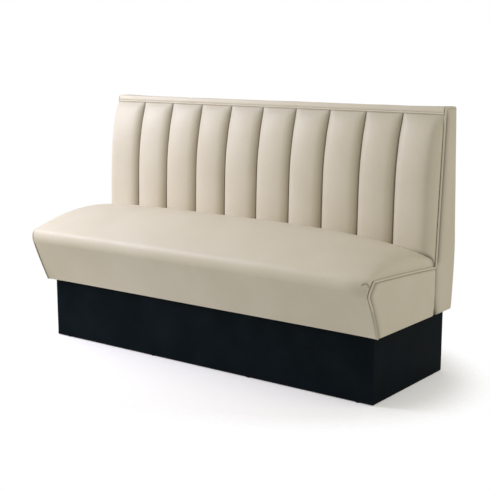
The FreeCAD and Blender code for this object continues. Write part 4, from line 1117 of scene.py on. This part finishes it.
rear_knee = end_view(REAR_KNEE_Y, REAR_KNEE)
rear_curve = arc(rear_knee, REAR_BELLY, REAR_LOW, steps(0, 1, 16))[::-1]
cover_top = BACK_TOP - END_THICKNESS
cover_front = [end_view(SEAT_REAR + PANEL_GAP + NOTCH, SEAT_LOW),
               end_view(SEAT_REAR + PANEL_GAP, SEAT_LOW + 5 * NOTCH),
               end_view(SEAT_REAR + PANEL_GAP, BACK_KNEE),
               end_view(back_front(BACK_KNEE, COVER_INSET), BACK_KNEE + 1),
               end_view(back_front(cover_top, COVER_INSET), cover_top)]
corner = rounded(rear_knee, end_view(back_rear(cover_top, 1), cover_top), cover_front[-1],
                 REAR_ROUND, 9)
cover_rear = rear_curve + corner[:5]
cover_head = [cover_front[-1]] + corner[4:][::-1]
for name, side in ENDS:
    panel = end_panel(f"back_{name}_end_panel", side, cover_front, cover_rear, cover_head,
                      BACK_PANEL_SEWN)
    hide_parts(f"back_{name}_end_cover")


# Rear cover: one sheet of the leatherette, stretched over the thin rear board, turned in at its
# edges and stapled, so its face is smooth and nearly flat.
COVER_THICKNESS = 1.5
STAPLE_REACH = 30
SHEET_WAVE = 120

rear_line = rear_curve + [end_view(back_rear(z, 0), z) for z in steps(REAR_KNEE, BOARD_TOP, 40)[1:]]
rear_rows = []
for x in steps(-FRAME_END, FRAME_END, 180):
    outer = []
    for spot, point in enumerate(rear_line):
        free = min(1, (FRAME_END - abs(x)) / STAPLE_REACH)
        free *= min(1, spot / 3, (len(rear_line) - 1 - spot) / 3)
        wave = noise.noise(Vector((x / SHEET_WAVE, point.z / SHEET_WAVE, 2)))
        outer.append(Vector((x, point.y + free * (.2 + .25 * wave), point.z)))
    rear_rows.append(outer + [point - end_view(COVER_THICKNESS, 0) for point in outer[::-1]])
rear_cover = new_piece("back_rear_sheet", *skin_rows(rear_rows, True), cream, "cream leatherette")
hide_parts("back_rear_cover")


# Studio: a pale floor that keeps the booth's soft shadow, a white surround, one large soft lamp
# from the front left, a small narrow one low on the seat's left end, a weak one from the right,
# and the camera at the photograph's angle.
FLOOR_TONE = "F2F2F2"
FLOOR_SIZE = 9
PHOTO_SIDE = 490
FOCAL_PIXELS = 1056.81
CAMERA_PLACE = (2.3399, -3.0393, 1.1370)
CAMERA_AZIMUTH = math.radians(36.85)
CAMERA_ELEVATION = math.radians(10.64)

floor_mesh = bpy.data.meshes.new("studio_floor")
floor_mesh.from_pydata([(x * FLOOR_SIZE, y * FLOOR_SIZE, 0) for x, y in
                        ((-1, -1), (1, -1), (1, 1), (-1, 1))], [], [(0, 1, 2, 3)])
floor = put_in("studio_floor", floor_mesh)
floor_finish = bpy.data.materials.new("pale_studio_floor")
floor_finish.use_nodes = True
tree = floor_finish.node_tree
tree.nodes.clear()
rays = add(tree, "LightPath")
matt_floor = add(tree, "BsdfDiffuse", {"Color": linear(FLOOR_TONE)})
glow = add(tree, "Emission", (), {
    "Strength": ranged(tree, rays.outputs["Is Camera Ray"], 0, .27),
})
lit_floor = add(tree, "AddShader", (), {0: matt_floor.outputs[0], 1: glow.outputs[0]})
place = add(tree, "TexCoord").outputs["Object"]
oval = add(tree, "Mapping", {"Scale": (1, 1.4, 1)}, {"Vector": place})
away = add(tree, "VectorMath", {"operation": "LENGTH"}, {0: oval.outputs["Vector"]})
fade = add(tree, "MapRange", {"From Min": .8, "From Max": 1.02, "interpolation_type": "SMOOTHSTEP"},
           {"Value": away.outputs["Value"]})
floor_mix = add(tree, "MixShader", (), {
    0: fade.outputs["Result"], 1: lit_floor.outputs[0],
    2: add(tree, "BsdfTransparent").outputs[0],
})
add(tree, "OutputMaterial", (), {"Surface": floor_mix.outputs[0]})
floor_mesh.materials.append(floor_finish)

world = bpy.data.worlds.new("studio_surround")
bpy.context.scene.world = world
world.use_nodes = True
tree = world.node_tree
tree.nodes.clear()
rays = add(tree, "LightPath")
seen = rays.outputs["Is Camera Ray"]
tone = add(tree, "Mix", {"data_type": "RGBA", 6: linear("FFFBF2"), 7: linear("FFFFFF")}, {0: seen})
surround = add(tree, "Background", (), {
    "Color": tone.outputs[2], "Strength": ranged(tree, seen, .56, 1),
})
add(tree, "OutputWorld", (), {"Surface": surround.outputs[0]})


def soft_lamp(name, place, target, size, power, colour, spread=180):
    """A square soft box that faces a point; its grid can narrow the spread of its light."""
    light = bpy.data.lights.new(name, "AREA")
    light.size = size
    light.energy = power
    light.color = linear(colour)[:3]
    light.spread = math.radians(spread)
    lamp = put_in(name, light)
    lamp.location = place
    lamp.rotation_euler = (Vector(target) - Vector(place)).to_track_quat("-Z", "Y").to_euler()


soft_lamp("key_soft_box", (-1.8, -1, 1.85), (-.3, 0, .55), 1, 47.5, "E0DFF2")
soft_lamp("low_soft_box", (-1.35, -.85, .5), (-.6, -.28, .28), .25, .13, "FFF4EE", 60)
soft_lamp("fill_soft_box", (2.8, 1.1, 1.3), (.7, .2, .6), 1.6, 5, "FFFAE6")

camera_data = bpy.data.cameras.new("photo_camera")
camera_data.lens = FOCAL_PIXELS / PHOTO_SIDE * camera_data.sensor_width
camera = put_in("photo_camera", camera_data)
camera.location = CAMERA_PLACE
camera.rotation_euler = (math.pi / 2 - CAMERA_ELEVATION, 0, CAMERA_AZIMUTH)
bpy.context.scene.camera = camera
bpy.context.scene.view_settings.view_transform = "Standard"
